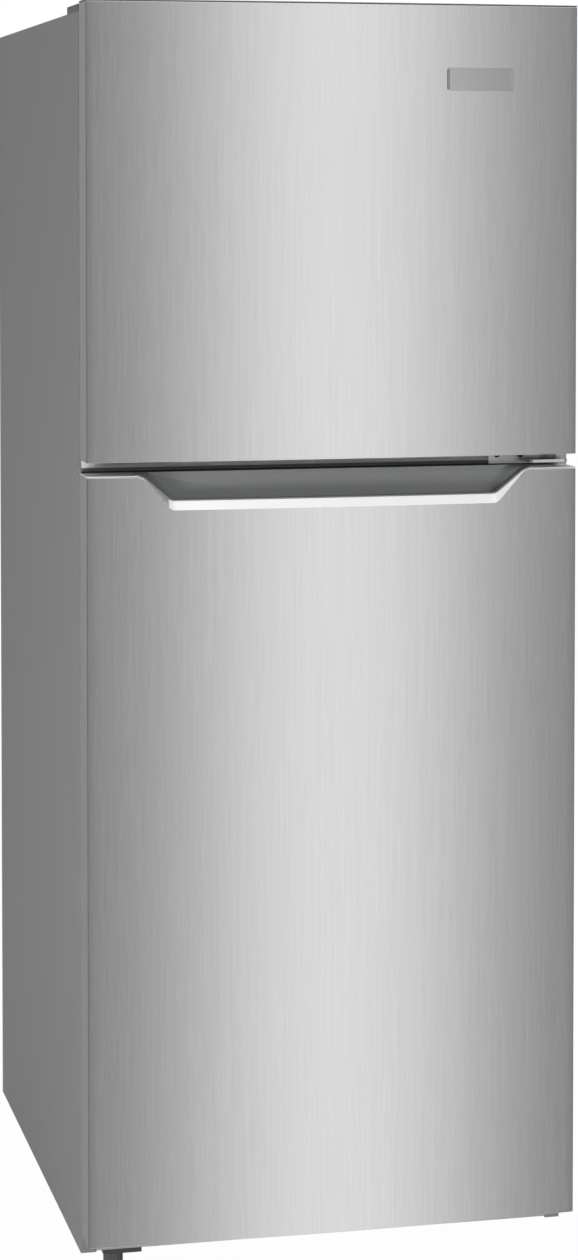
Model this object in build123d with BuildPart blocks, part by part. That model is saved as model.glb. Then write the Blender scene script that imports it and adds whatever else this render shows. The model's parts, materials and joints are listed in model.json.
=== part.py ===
"""A top freezer refrigerator with two bowed doors hinged on the right.

Millimetres. +Z is up and the doors face -Y. The origin is on the floor, under the middle of the object.
"""

from build123d import *
import math
import os

# Overall size of the cabinet and its doors
WIDTH = 604
HEIGHT = 1537
HALF = WIDTH / 2
BOW = 9  # how far the middle of a door stands proud of its side edges
DOOR_EDGE = 48  # thickness of a door at its side edges
SEAL_GAP = 8  # between a shut door and the cabinet
CABINET_DEPTH = 695

Y_FRONT = -(BOW + DOOR_EDGE + SEAL_GAP + CABINET_DEPTH) / 2
Y_EDGE = Y_FRONT + BOW
Y_DOOR_BACK = Y_EDGE + DOOR_EDGE
Y_CABINET = Y_DOOR_BACK + SEAL_GAP
Y_BACK = Y_CABINET + CABINET_DEPTH
BOW_RADIUS = (HALF**2 + BOW**2) / (2 * BOW)
BOW_CENTRE = Y_FRONT + BOW_RADIUS

CABINET_BOTTOM = 31
CABINET_TOP = 1526
FRIDGE_DOOR = (55, 976)  # bottom and top of the lower door
FREEZER_DOOR = (992, HEIGHT)

# Sheets, walls and the small gaps that keep pieces apart
SHEET = 1.0
SKIN = 0.8
LINER = 2.0
FLANGE = 19  # width of the folded front edge of the outer panels
MOUTH = HALF - FLANGE
GAP = 0.3
FIT = 0.06  # radial room of a pin or shaft in its hole
CAP_LIP = 1.2  # shows above the skin, along the top of a door only
CAP_DEPTH = 20

# Compartments, inside the liners
INSIDE = 250  # half width
CORNER = 10
FREEZER = (1012, 1476, 310)  # floor, ceiling, back
FRIDGE = (102, 950, 318)
STEP_FRONT, STEP_TOP = 130, 312  # the hump over the compressor
RAIL = (958, 1004)  # the strip between the two doors
BAY_FRONT, BAY_ROOF, BAY_FLOOR = 190, 262, 46.8  # the compressor bay
COVER_TOP = BAY_ROOF + 8  # the louvred rear cover stops here, and the rear sheet starts
TUBE_ROOM = 7  # for the condenser tube, between the side panel and the foam

# Hinge line, shared by both doors
HINGE_X, HINGE_Y = HALF - 12, Y_CABINET - 30
PIN = 4  # radius
HINGE_PLATE = 3.5

# Door furniture
RIB_IN, RIB_OUT = 228, 243
RIB_BACK = Y_CABINET + 40
BIN_HALF, BIN_BACK, BIN_WALL = 226, Y_CABINET + 105, 2.5
FREEZER_BINS = ((1040, 90), (1250, 90))  # floor height and depth of each bin
FRIDGE_BINS = ((150, 140), (430, 95), (670, 95))
SEAL_OUT, SEAL_WIDTH, SEAL_INSET = 288, 13, 16

# Handle pocket in the top edge of the lower door: half widths, heights and depths
POCKET_TOP, POCKET_BOTTOM, POCKET_Z = 238, 201, 934.5
RIM_TOP, RIM_BOTTOM, RIM_Z = 237.2, 195, 945
POCKET_FLOOR, FLOOR_HALF, BACK_TOP = 928, 172, 218
RIM_DEPTH = 9  # how far the bevelled rim slopes inwards
LIP_BACK, POCKET_BACK, CUP_WALL = Y_FRONT + 15, Y_FRONT + 39, 2.5

# Shelves
SHELF_FRONT = Y_CABINET + 125
SHELF_HALF, GLASS = 246, 4
LEDGE = 8
FREEZER_SHELF = (1240, 205)  # underside and back edge
FRIDGE_SHELVES = ((510, 300), (710, 300))
CRISPER_COVER = (303, STEP_FRONT - 6)

# Crisper drawer
CRISPER_HALF, CRISPER_FRONT, CRISPER_BACK = 236, -187, 118
RUNNER_TOP, CRISPER_TOP = 106, 292

# Feet and rollers
FOOT_RADIUS, FOOT_X = 12, 256
FOOT_Y = (Y_CABINET + 40, Y_CABINET + 110)  # left, right
FOOT_BRACKET = (26, 30)
ROLLER_RADIUS, ROLLER_X, ROLLER_Y, ROLLER_WIDTH = 20, 271, 343, 20

# Controls, light and fan
BOX_HALF, BOX_FRONT, BOX_BACK, BOX_BOTTOM = 130, -170, 60, 906
KNOB_X, KNOB_Z = 80, 928
SWITCH_X, SWITCH_Z, SWITCH_FRONT = 236, 912, -266
LAMP = (-95, 25, -110, 10)  # left, right, front and back of its lens
FAN_Y, FAN_Z = 258, 1345
SHAFT = 2.5  # radius of the fan motor's shaft
COVER_FRONT, COVER_WALL = 221, 4  # evaporator cover
SLIDER_X, SLIDER_Z = -110, 1431

os.makedirs("parts", exist_ok=True)


def keep(builder, name):
    """Labels a finished piece and writes it as its own node."""
    builder.part.label = name
    export_step(builder.part, f"parts/{name}.step")


def block(x0, x1, y0, y1, z0, z1, mode=Mode.ADD):
    """A box between two corners, in the part being built."""
    with Locations(((x0 + x1) / 2, (y0 + y1) / 2, (z0 + z1) / 2)):
        Box(abs(x1 - x0), y1 - y0, z1 - z0, mode=mode)


def post(x, y, z0, z1, radius, mode=Mode.ADD):
    """An upright cylinder."""
    with Locations((x, y, (z0 + z1) / 2)):
        Cylinder(radius, z1 - z0, mode=mode)


def along_y(x, z, y0, y1, radius, mode=Mode.ADD):
    """A cylinder lying front to back."""
    with Locations(Location((x, (y0 + y1) / 2, z), (90, 0, 0))):
        Cylinder(radius, y1 - y0, mode=mode)


def along_x(y, z, x0, x1, radius, mode=Mode.ADD):
    """A cylinder lying side to side."""
    with Locations(Location(((x0 + x1) / 2, y, z), (0, 90, 0))):
        Cylinder(radius, abs(x1 - x0), mode=mode)


def bow_y(x, inset=0.0):
    """Where the bowed front of a door is, at a distance x from its middle."""
    return BOW_CENTRE - math.sqrt((BOW_RADIUS - inset) ** 2 - x * x)


def door_slab(x0, x1, y_back, z0, z1, inset=0.0, mode=Mode.ADD):
    """A slab whose front follows the bow of the doors and whose back is flat."""
    left, right = (x0, bow_y(x0, inset)), (x1, bow_y(x1, inset))
    middle = (x0 + x1) / 2
    with BuildSketch(Plane.XY.offset(z0)) as outline:
        with BuildLine():
            ThreePointArc(left, (middle, bow_y(middle, inset)), right)
            Polyline(right, (x1, y_back), (x0, y_back), left)
        make_face()
    extrude(outline.sketch, amount=z1 - z0, mode=mode)


def trapezium(y, bottom_half, bottom, top_half, top):
    """An upright four-sided face at y, symmetric about the middle of the door."""
    with BuildSketch(Plane.XZ.offset(-y)) as outline:
        with BuildLine():
            Polyline(
                (-bottom_half, bottom), (bottom_half, bottom), (top_half, top), (-top_half, top),
                close=True,
            )
        make_face()
    return outline.sketch.face()


def pocket_prism(y0, y1, bottom_half, bottom, top_half, top, mode):
    """The handle pocket's outline at the door's top, carried up past the door and from y0 back to y1."""
    above = 20
    wider = top_half + (top_half - bottom_half) * above / (top - bottom)
    extrude(trapezium(y1, bottom_half, bottom, wider, top + above), amount=y1 - y0, mode=mode)


def tube(points, radius, bend):
    """A bent tube: straight runs with round bends, in the part being built."""
    with BuildLine() as route:
        FilletPolyline(*points, radius=bend)
    path = route.line
    with BuildSketch(Plane(origin=path @ 0, z_dir=path % 0)) as section:
        Circle(radius)
    sweep(section.sketch, path=path)


# ---------------------------------------------------------------- cabinet


def make_side_panel(name, side):
    """One painted side panel, with its narrow front edge folded inwards."""
    outer, inner = side * HALF, side * (HALF - SHEET)
    with BuildPart() as panel:
        with BuildSketch(Plane.XY.offset(CABINET_BOTTOM)) as profile:
            with BuildLine():
                Polyline(
                    (outer, Y_CABINET), (outer, Y_BACK), (inner, Y_BACK), (inner, Y_CABINET + SHEET),
                    (side * MOUTH, Y_CABINET + SHEET), (side * MOUTH, Y_CABINET), close=True,
                )
            make_face()
            fillet(profile.vertices().sort_by_distance((outer, Y_CABINET))[0], 1.5)
        extrude(amount=CABINET_TOP - SHEET - CABINET_BOTTOM)
    keep(panel, name)


def make_cabinet_top():
    """The top sheet, with its front edge folded down between the side panels."""
    with BuildPart() as cabinet_top:
        block(-HALF, HALF, Y_CABINET, Y_BACK, CABINET_TOP - SHEET, CABINET_TOP)
        block(-MOUTH, MOUTH, Y_CABINET, Y_CABINET + SHEET, CABINET_TOP - FLANGE, CABINET_TOP)
    keep(cabinet_top, "cabinet_top")


def make_cabinet_back():
    """The flat rear sheet, stiffened by long shallow grooves."""
    half = HALF - SHEET - GAP
    with BuildPart() as cabinet_back:
        block(-half, half, Y_BACK - SHEET, Y_BACK, COVER_TOP + GAP, CABINET_TOP - SHEET)
        with BuildSketch(Plane.XZ.offset(-Y_BACK)):
            with Locations((0, 910)):
                with GridLocations(0, 270, 1, 4):
                    SlotOverall(440, 24)
        extrude(amount=SHEET / 2, mode=Mode.SUBTRACT)
    keep(cabinet_back, "cabinet_back")


def make_cabinet_foam():
    """Insulation slabs that fill the walls between the outer panels and the liners."""
    wall = INSIDE + LINER
    side = HALF - SHEET - TUBE_ROOM
    front, back = Y_CABINET + LINER, Y_BACK - SHEET
    ceiling, top = FREEZER[1] + LINER, CABINET_TOP - SHEET
    divider, roof = FRIDGE[1] + LINER, FREEZER[0] - LINER
    floor, hump = FRIDGE[0] - LINER, STEP_TOP - LINER
    slabs = [
        (-side, side, front, back, ceiling, top),
        (-wall, wall, front, back, divider, roof),
        (-wall, wall, FREEZER[2] + LINER, back, roof, ceiling),
        (-wall, wall, FRIDGE[2] + LINER, back, hump, divider),
        (-wall, wall, BAY_FRONT, back, BAY_ROOF, hump),
        (-wall, wall, STEP_FRONT + LINER, BAY_FRONT, floor, hump),
        (-side, side, front, BAY_FRONT, BAY_FLOOR, floor),
    ]
    for x0, x1 in ((-side, -wall), (wall, side)):
        slabs.append((x0, x1, front, back, BAY_ROOF, ceiling))
        slabs.append((x0, x1, front, BAY_FRONT, floor, BAY_ROOF))
    room = GAP / 2
    with BuildPart() as cabinet_foam:
        for x0, x1, y0, y1, z0, z1 in slabs:
            block(x0 + room, x1 - room, y0 + room, y1 - room, z0 + room, z1 - room)
    keep(cabinet_foam, "cabinet_foam")


def room_inside(grow, floor, ceiling, back, stepped):
    """The space inside a liner, or with grow the liner's outside, round along its four long corners."""
    half = INSIDE + grow
    with BuildPart() as room:
        block(-half, half, Y_CABINET - 5, back + grow, floor - grow, ceiling + grow)
        if stepped:
            block(
                -half, half, STEP_FRONT + grow, back + grow, floor - grow, STEP_TOP - grow,
                mode=Mode.SUBTRACT,
            )
        upright = room.edges().filter_by(Axis.Y)
        fillet(upright, CORNER + grow)
    return room.part


def make_liner(name, space, flange, shelves, stepped):
    """A moulded inner liner with a front flange and ledges for the shelves."""
    floor, ceiling, back = space
    outside = room_inside(LINER, floor, ceiling, back, stepped)
    hollow = room_inside(0, floor, ceiling, back, stepped)
    with BuildPart() as liner:
        add(outside)
        block(-HALF, HALF, Y_CABINET - 9, Y_CABINET, floor - 50, ceiling + 50, mode=Mode.SUBTRACT)
        block(-MOUTH, MOUTH, Y_CABINET, Y_CABINET + LINER, flange[0], flange[1])
        add(hollow, mode=Mode.SUBTRACT)
        for underside, shelf_back in shelves:
            for side in (-1, 1):
                edges = sorted((side * (INSIDE - LEDGE), side * INSIDE))
                block(*edges, SHELF_FRONT - 30, shelf_back, underside - LEDGE, underside)
        if stepped:
            for x in (-200, 200):
                block(x - 6, x + 6, SHELF_FRONT - 5, STEP_FRONT - 20, floor, RUNNER_TOP)
    keep(liner, name)


def make_mid_rail():
    """The dark strip across the cabinet front between the doors, with a raised band and a tab at its left."""
    with BuildPart() as mid_rail:
        block(-MOUTH, MOUTH, Y_CABINET, Y_CABINET + 1.8, RAIL[0], RAIL[1])
        block(3 - HALF, -MOUTH + 10, Y_CABINET - 0.6, Y_CABINET, RAIL[0] + 4, RAIL[1] - 4)
        block(-MOUTH, 200, Y_CABINET - 2, Y_CABINET, 984, 996)
    keep(mid_rail, "mid_rail")


def make_top_cover():
    """The low hollow cover along the front of the cabinet top, over the top hinge."""
    back, top, wall = Y_CABINET + 80, CABINET_TOP + 9, 1.5
    with BuildPart() as top_cover:
        block(-HALF, HALF, Y_CABINET, back, CABINET_TOP, top)
        fillet(top_cover.edges().group_by(Axis.Z)[-1], 1)
        block(
            wall - HALF, HALF - wall, Y_CABINET + wall, back - wall, CABINET_TOP - 1, top - wall,
            mode=Mode.SUBTRACT,
        )
        block(
            HINGE_X - 12, HALF - wall, Y_CABINET - 1, Y_CABINET + 2 * wall, CABINET_TOP - 1,
            CABINET_TOP + 5, mode=Mode.SUBTRACT,
        )
    keep(top_cover, "top_cover")


def make_base_frame():
    """The sheet under the cabinet: front edge turned down, floor, and the compressor bay's wall and roof."""
    half, sheet, back = HALF - 3, 1.2, Y_BACK - SHEET - GAP
    with BuildPart() as base_frame:
        block(-half, half, Y_CABINET + SHEET, back, BAY_FLOOR - sheet, BAY_FLOOR)
        block(-MOUTH, MOUTH, Y_CABINET, Y_CABINET + sheet, CABINET_BOTTOM + 2, BAY_FLOOR)
        block(-half, half, BAY_FRONT, BAY_FRONT + sheet, BAY_FLOOR, BAY_ROOF)
        block(-half, half, BAY_FRONT, back, BAY_ROOF - sheet, BAY_ROOF)
    keep(base_frame, "base_frame")


# ---------------------------------------------------------------- hinges


def make_top_hinge():
    """The top hinge: a plate on the cabinet, a tongue over the freezer door, and its pin."""
    with BuildPart() as top_hinge:
        block(230, HINGE_X + 8, Y_CABINET + 2, Y_CABINET + 65, CABINET_TOP, CABINET_TOP + 3)
        block(HINGE_X - 8, HINGE_X + 8, HINGE_Y, Y_CABINET + 10, CABINET_TOP, CABINET_TOP + 3)
        post(HINGE_X, HINGE_Y, CABINET_TOP, CABINET_TOP + 3, 9)
        post(HINGE_X, HINGE_Y, CABINET_TOP - 22, CABINET_TOP, PIN)
    keep(top_hinge, "top_hinge")


MID_HINGE_Z = 981
MID_FLANGE = (207, HINGE_X, 977, 999)


def make_mid_hinge():
    """The bright hinge between the doors: a flange on the rail, a shelf and one pin each way."""
    x0, x1, z0, z1 = MID_FLANGE
    top = MID_HINGE_Z + HINGE_PLATE
    with BuildPart() as mid_hinge:
        block(x0, x1, Y_CABINET - 3, Y_CABINET, z0, z1)
        block(x0 - 1, 225, Y_CABINET - 4, Y_CABINET - 2, MID_HINGE_Z - 1.6, MID_HINGE_Z, mode=Mode.SUBTRACT)
        block(247, HINGE_X + 6, HINGE_Y - 14, Y_CABINET - 3, MID_HINGE_Z, top)
        corners = mid_hinge.edges().filter_by(Axis.Z).group_by(Axis.Y)[0]
        fillet(corners, 5)
        post(HINGE_X, HINGE_Y, MID_HINGE_Z, FREEZER_DOOR[0] + 16, PIN)
        post(HINGE_X, HINGE_Y, FRIDGE_DOOR[1] - 18, MID_HINGE_Z, PIN)
    keep(mid_hinge, "mid_hinge")


BOTTOM_HINGE_TOP = FRIDGE_DOOR[0] - 2


def make_bottom_hinge():
    """The hinge under the lower door."""
    with BuildPart() as bottom_hinge:
        block(225, HINGE_X + 7, HINGE_Y - 12, Y_CABINET - 3, BOTTOM_HINGE_TOP - 3, BOTTOM_HINGE_TOP)
        fillet(bottom_hinge.edges().filter_by(Axis.Z).group_by(Axis.Y)[0], 5)
        block(225, MOUTH - 1, Y_CABINET - 3, Y_CABINET, 36, BOTTOM_HINGE_TOP)
        post(HINGE_X, HINGE_Y, BOTTOM_HINGE_TOP, BOTTOM_HINGE_TOP + 18, PIN)
    keep(bottom_hinge, "bottom_hinge")


def make_hinge_screws():
    """Screw heads: two on each hinge."""
    with BuildPart() as hinge_screws:
        for x in (217.5, 247.5):
            along_y(x, 988.5, Y_CABINET - 5, Y_CABINET - 3, 4)
        for x in (238, 268):
            along_y(x, 42, Y_CABINET - 5, Y_CABINET - 3, 4)
        for x in (245, 275):
            post(x, Y_CABINET + 40, CABINET_TOP + 3, CABINET_TOP + 6, 4.5)
    keep(hinge_screws, "hinge_screws")


def make_hinge_spacers():
    """Nylon washers round the pins, which keep the doors at their heights."""
    rings = (
        (BOTTOM_HINGE_TOP, FRIDGE_DOOR[0] - GAP),
        (FRIDGE_DOOR[1] + GAP, MID_HINGE_Z),
        (MID_HINGE_Z + HINGE_PLATE, FREEZER_DOOR[0] - GAP),
    )
    with BuildPart() as hinge_spacers:
        for z0, z1 in rings:
            post(HINGE_X, HINGE_Y, z0, z1, 8)
            post(HINGE_X, HINGE_Y, z0, z1, PIN + 0.1, mode=Mode.SUBTRACT)
    keep(hinge_spacers, "hinge_spacers")


# ---------------------------------------------------------------- feet and rollers


def make_foot_brackets():
    """Two black channels under the base, each with a hole for a foot's screw."""
    low, plate = FOOT_BRACKET
    with BuildPart() as foot_brackets:
        for side, y in ((-1, FOOT_Y[0]), (1, FOOT_Y[1])):
            edges = sorted((side * (FOOT_X - 29), side * (FOOT_X + 18)))
            block(*edges, y - 36, y + 36, low, BAY_FLOOR - 1.2)
            block(*edges, y - 33, y + 33, plate, BAY_FLOOR, mode=Mode.SUBTRACT)
            post(side * FOOT_X, y, low - 1, plate + 1, PIN + FIT, mode=Mode.SUBTRACT)
    keep(foot_brackets, "foot_brackets")


def make_foot(name, x, y):
    """A screw-in levelling foot with a grooved grip."""
    with BuildPart() as foot:
        post(x, y, 0, 20, FOOT_RADIUS)
        chamfer(foot.edges().filter_by(GeomType.CIRCLE), 1)
        with Locations((x, y, 11)):
            with PolarLocations(FOOT_RADIUS + 0.4, 16):
                Cylinder(1.2, 14, mode=Mode.SUBTRACT)
        post(x, y, 20, 44, PIN)
    keep(foot, name)


def make_roller_brackets():
    """Cheeks and an axle for each rear roller."""
    gap, cheek = ROLLER_WIDTH / 2 + 1.5, 3
    with BuildPart() as roller_brackets:
        for side in (-1, 1):
            centre = side * ROLLER_X
            for way in (-1, 1):
                edges = sorted((centre + way * gap, centre + way * (gap + cheek)))
                block(*edges, ROLLER_Y - 12, ROLLER_Y + 12, 12, BAY_FLOOR - 1.2)
            block(
                centre - gap, centre + gap, ROLLER_Y - 12, ROLLER_Y + 12,
                BAY_FLOOR - 3.2, BAY_FLOOR - 1.2,
            )
            along_x(ROLLER_Y, ROLLER_RADIUS, centre - gap, centre + gap, 3)
    keep(roller_brackets, "roller_brackets")


def make_roller(name, x):
    """A rear roller with a recessed web."""
    half = ROLLER_WIDTH / 2
    with BuildPart() as roller:
        along_x(ROLLER_Y, ROLLER_RADIUS, x - half, x + half, ROLLER_RADIUS)
        chamfer(roller.edges().filter_by(GeomType.CIRCLE), 1)
        for x0, x1 in ((x - half, x - 4), (x + 4, x + half)):
            along_x(ROLLER_Y, ROLLER_RADIUS, x0, x1, 15, mode=Mode.SUBTRACT)
            along_x(ROLLER_Y, ROLLER_RADIUS, x0, x1, 7)
        along_x(ROLLER_Y, ROLLER_RADIUS, x - half, x + half, 3 + FIT, mode=Mode.SUBTRACT)
    keep(roller, name)


# ---------------------------------------------------------------- cooling

COMPRESSOR_X, COMPRESSOR_Y, COMPRESSOR_RADIUS = 130, 285, 66
DRIER_X, DRIER_Y = -20, 320


def make_compressor():
    """The sealed compressor on its foot plate, its rubber mounts and its terminal box."""
    radius, low, top, x = COMPRESSOR_RADIUS, 78, 228, COMPRESSOR_X
    with BuildPart() as compressor:
        post(x, COMPRESSOR_Y, low, top, radius)
        fillet(compressor.edges().group_by(Axis.Z)[-1], 38)
        post(x, COMPRESSOR_Y, 128, 134, radius + 3)
        block(x - 72, x + 72, COMPRESSOR_Y - 62, COMPRESSOR_Y + 62, low - 3, low)
    keep(compressor, "compressor")

    with BuildPart() as compressor_mounts:
        with Locations((x, COMPRESSOR_Y, (BAY_FLOOR + low - 3) / 2)):
            with GridLocations(124, 104, 2, 2):
                Cylinder(9, low - 3 - BAY_FLOOR)
        chamfer(compressor_mounts.edges().filter_by(GeomType.CIRCLE), 1.5)
    keep(compressor_mounts, "compressor_mounts")

    with BuildPart() as terminal_box:
        block(x + 40, x + radius + 26, COMPRESSOR_Y - 24, COMPRESSOR_Y + 24, 138, 182)
        fillet(terminal_box.edges().filter_by(Axis.X), 4)
        post(x, COMPRESSOR_Y, 130, 190, radius + 0.1, mode=Mode.SUBTRACT)
    keep(terminal_box, "terminal_box")


def make_pipes():
    """Copper pipes from the compressor to the bay's roof, and the filter drier."""
    roof, side = BAY_ROOF - 1.2, COMPRESSOR_X - COMPRESSOR_RADIUS
    with BuildPart() as refrigerant_pipes:
        suction, discharge = COMPRESSOR_Y, COMPRESSOR_Y - 30
        tube(((side, suction, 150), (30, suction, 150), (30, suction, roof)), 4, 14)
        turn = (10, discharge - 25)
        tube(((side + 5, discharge, 110), (10, discharge, 110), (*turn, 110), (*turn, roof)), 3, 10)
        post(DRIER_X, DRIER_Y, 130, 220, 9)
        post(DRIER_X, DRIER_Y, 220, roof, 2.5)
        post(DRIER_X, DRIER_Y, 100, 130, 2.5)
    keep(refrigerant_pipes, "refrigerant_pipes")

    x = HALF - SHEET - TUBE_ROOM / 2
    front, back = Y_CABINET + 45, Y_BACK - 80
    with BuildPart() as condenser_tube:
        for side in (-x, x):
            turns = [(side, back, BAY_ROOF + 10)]
            for row in range(8):
                z = 330 + row * 150
                ends = (back, front) if row % 2 == 0 else (front, back)
                turns += [(side, ends[0], z), (side, ends[1], z)]
            tube(turns, 2.4, 40)
    keep(condenser_tube, "condenser_tube")


def make_bay_fittings():
    """The defrost water pan, the rear cover with its louvres, and the ring that the mains lead enters by."""
    with BuildPart() as drain_pan:
        block(-225, -55, 215, 355, BAY_FLOOR, 88)
        fillet(drain_pan.edges().filter_by(Axis.Z), 12)
        fillet(drain_pan.faces().sort_by(Axis.Z)[0].edges(), 4)
        offset(amount=-2, openings=drain_pan.faces().sort_by(Axis.Z)[-1])
    keep(drain_pan, "drain_pan")

    half, low, inner = HALF - SHEET - GAP, 50, Y_BACK - SHEET
    inlet_x, inlet_z = -240, 84
    with BuildPart() as compressor_cover:
        block(-half, half, inner, Y_BACK, low, COVER_TOP)
        with BuildSketch(Plane.XZ.offset(-Y_BACK)):
            with Locations((0, 185)):
                with GridLocations(150, 14, 3, 9):
                    SlotOverall(120, 5)
            with Locations((inlet_x, inlet_z)):
                Circle(9)
        extrude(amount=SHEET, mode=Mode.SUBTRACT)
    keep(compressor_cover, "compressor_cover")

    with BuildPart() as cord_inlet:
        along_y(inlet_x, inlet_z, inner - 4, inner, 12)
        along_y(inlet_x, inlet_z, inner, Y_BACK, 8.9)
        along_y(inlet_x, inlet_z, inner - 5, Y_BACK + 1, 4.5, mode=Mode.SUBTRACT)
    keep(cord_inlet, "cord_inlet")


EVAPORATOR_Y, EVAPORATOR_ROWS, EVAPORATOR_PITCH = 268, 6, 30


def make_evaporator():
    """Aluminium fins on one long tube, behind the cover at the back of the freezer."""
    low, rows, pitch = 1060, EVAPORATOR_ROWS, EVAPORATOR_PITCH
    with BuildPart() as evaporator_fins:
        with Locations((0, EVAPORATOR_Y, low + pitch * (rows - 1) / 2)):
            with GridLocations(18, 0, 21, 1):
                Box(0.8, 56, pitch * rows)
        for row in range(rows):
            along_x(EVAPORATOR_Y, low + row * pitch, -190, 190, 4.1, mode=Mode.SUBTRACT)
    keep(evaporator_fins, "evaporator_fins")

    turns = []
    for row in range(rows):
        ends = (-212, 212) if row % 2 == 0 else (212, -212)
        turns += [(x, EVAPORATOR_Y, low + row * pitch) for x in ends]
    with BuildPart() as evaporator_tube:
        tube(turns, 4, pitch / 2 - 0.5)
    keep(evaporator_tube, "evaporator_tube")


def make_fan():
    """The freezer fan: a motor held off the rear wall, and its blades."""
    blades, hub = 5, 14
    front, strap = FAN_Y + 18, FAN_Y + 46
    with BuildPart() as fan_motor:
        along_y(0, FAN_Z, front, strap, 24)
        block(-70, 70, strap, strap + 5, FAN_Z - 9, FAN_Z + 9)
        along_y(0, FAN_Z, FAN_Y - 14, front, SHAFT)
    keep(fan_motor, "fan_motor")

    with BuildPart() as evaporator_fan:
        for step in range(blades):
            turn = Location((0, FAN_Y, FAN_Z), (0, 360 / blades * step, 0))
            pitched = Location((33, 0, 0), (35, 0, 0))
            with Locations(turn * pitched):
                Box(48, 1.6, 26)
        along_y(0, FAN_Z, FAN_Y - 10, FAN_Y + 10, hub)
        along_y(0, FAN_Z, FAN_Y - 18, front - 4, SHAFT + FIT, mode=Mode.SUBTRACT)
    keep(evaporator_fan, "evaporator_fan")


def make_evaporator_cover():
    """The panel at the back of the freezer, with the fan's grille, air slots and the airflow slider."""
    y0, y1 = COVER_FRONT, COVER_FRONT + COVER_WALL
    floor, ceiling = FREEZER[0], FREEZER[1]
    with BuildPart() as evaporator_cover:
        block(1 - INSIDE, INSIDE - 1, y0, y1, floor + 1, ceiling - 1)
        fillet(evaporator_cover.edges().filter_by(Axis.Y), CORNER)
        with BuildSketch(Plane.XZ.offset(-y0)):
            for radius, count in ((18, 6), (32, 10), (46, 14)):
                with Locations((0, FAN_Z)):
                    with PolarLocations(radius, count):
                        Circle(4.6)
            with Locations((0, 1032)):
                with GridLocations(70, 0, 6, 1):
                    SlotOverall(56, 7)
            with Locations((0, 1448)):
                with GridLocations(90, 0, 4, 1):
                    SlotOverall(70, 6)
            with Locations((SLIDER_X, SLIDER_Z)):
                Rectangle(84, 6.6)
        extrude(amount=-COVER_WALL, mode=Mode.SUBTRACT)
    keep(evaporator_cover, "evaporator_cover")

    with BuildPart() as airflow_slider:
        block(SLIDER_X - 9, SLIDER_X + 9, y0 - 10, y0 - GAP, SLIDER_Z - 7, SLIDER_Z + 7)
        fillet(airflow_slider.edges().group_by(Axis.Y)[0], 2)
        block(SLIDER_X - 4, SLIDER_X + 4, y0 - 1, y1 + 1, SLIDER_Z - 2.9, SLIDER_Z + 2.9)
        block(SLIDER_X - 9, SLIDER_X + 9, y1 + GAP, y1 + 2, SLIDER_Z - 7, SLIDER_Z + 7)
    keep(airflow_slider, "airflow_slider")


# ---------------------------------------------------------------- inside the fridge


def make_controls():
    """The control housing on the fridge ceiling, its knob and lamp lens, and the door switch."""
    top = FRIDGE[1] - GAP
    with BuildPart() as control_box:
        block(-BOX_HALF, BOX_HALF, BOX_FRONT, BOX_BACK, BOX_BOTTOM, top)
        fillet(control_box.edges().filter_by(Axis.Z).group_by(Axis.Y)[0], 12)
        fillet(control_box.faces().sort_by(Axis.Z)[0].edges(), 3)
        offset(amount=-2.5, openings=control_box.faces().sort_by(Axis.Z)[-1])
        along_y(KNOB_X, KNOB_Z, BOX_FRONT, BOX_FRONT + 12, 8)
        along_y(KNOB_X, KNOB_Z, BOX_FRONT - 1, BOX_FRONT + 14, 3 + FIT, mode=Mode.SUBTRACT)
    keep(control_box, "control_box")

    with BuildPart() as temperature_knob:
        along_y(KNOB_X, KNOB_Z, BOX_FRONT - 16, BOX_FRONT - GAP, 17)
        fillet(temperature_knob.edges().group_by(Axis.Y)[0], 2)
        for side in (-1, 1):
            edges = sorted((KNOB_X + side * 4, KNOB_X + side * 20))
            block(*edges, BOX_FRONT - 17, BOX_FRONT - 6, KNOB_Z - 20, KNOB_Z + 20, mode=Mode.SUBTRACT)
        along_y(KNOB_X, KNOB_Z, BOX_FRONT - 6, BOX_FRONT - GAP, 17)
        along_y(KNOB_X, KNOB_Z, BOX_FRONT - GAP, BOX_FRONT + 11, 3)
    keep(temperature_knob, "temperature_knob")

    with BuildPart() as lamp_lens:
        block(*LAMP, BOX_BOTTOM - 7, BOX_BOTTOM)
        fillet(lamp_lens.edges().filter_by(Axis.Z), 10)
        fillet(lamp_lens.edges().group_by(Axis.Z)[0], 3)
    keep(lamp_lens, "lamp_lens")

    half, room = 4, FIT
    with BuildPart() as light_switch:
        block(SWITCH_X - 8, INSIDE - GAP, SWITCH_FRONT, SWITCH_FRONT + 26, SWITCH_Z - 10, SWITCH_Z + 10)
        block(
            SWITCH_X - half - room, SWITCH_X + half + room, SWITCH_FRONT - 1, SWITCH_FRONT + 23,
            SWITCH_Z - half - room, SWITCH_Z + half + room, mode=Mode.SUBTRACT,
        )
    keep(light_switch, "light_switch")

    with BuildPart() as switch_plunger:
        block(
            SWITCH_X - half, SWITCH_X + half, RIB_BACK + 0.5, SWITCH_FRONT + 20,
            SWITCH_Z - half, SWITCH_Z + half,
        )
        fillet(switch_plunger.edges().group_by(Axis.Y)[0], 1.5)
    keep(switch_plunger, "switch_plunger")


def shelf_places():
    """Underside and back edge of every glass pane."""
    return (FREEZER_SHELF, *FRIDGE_SHELVES, CRISPER_COVER)


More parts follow.
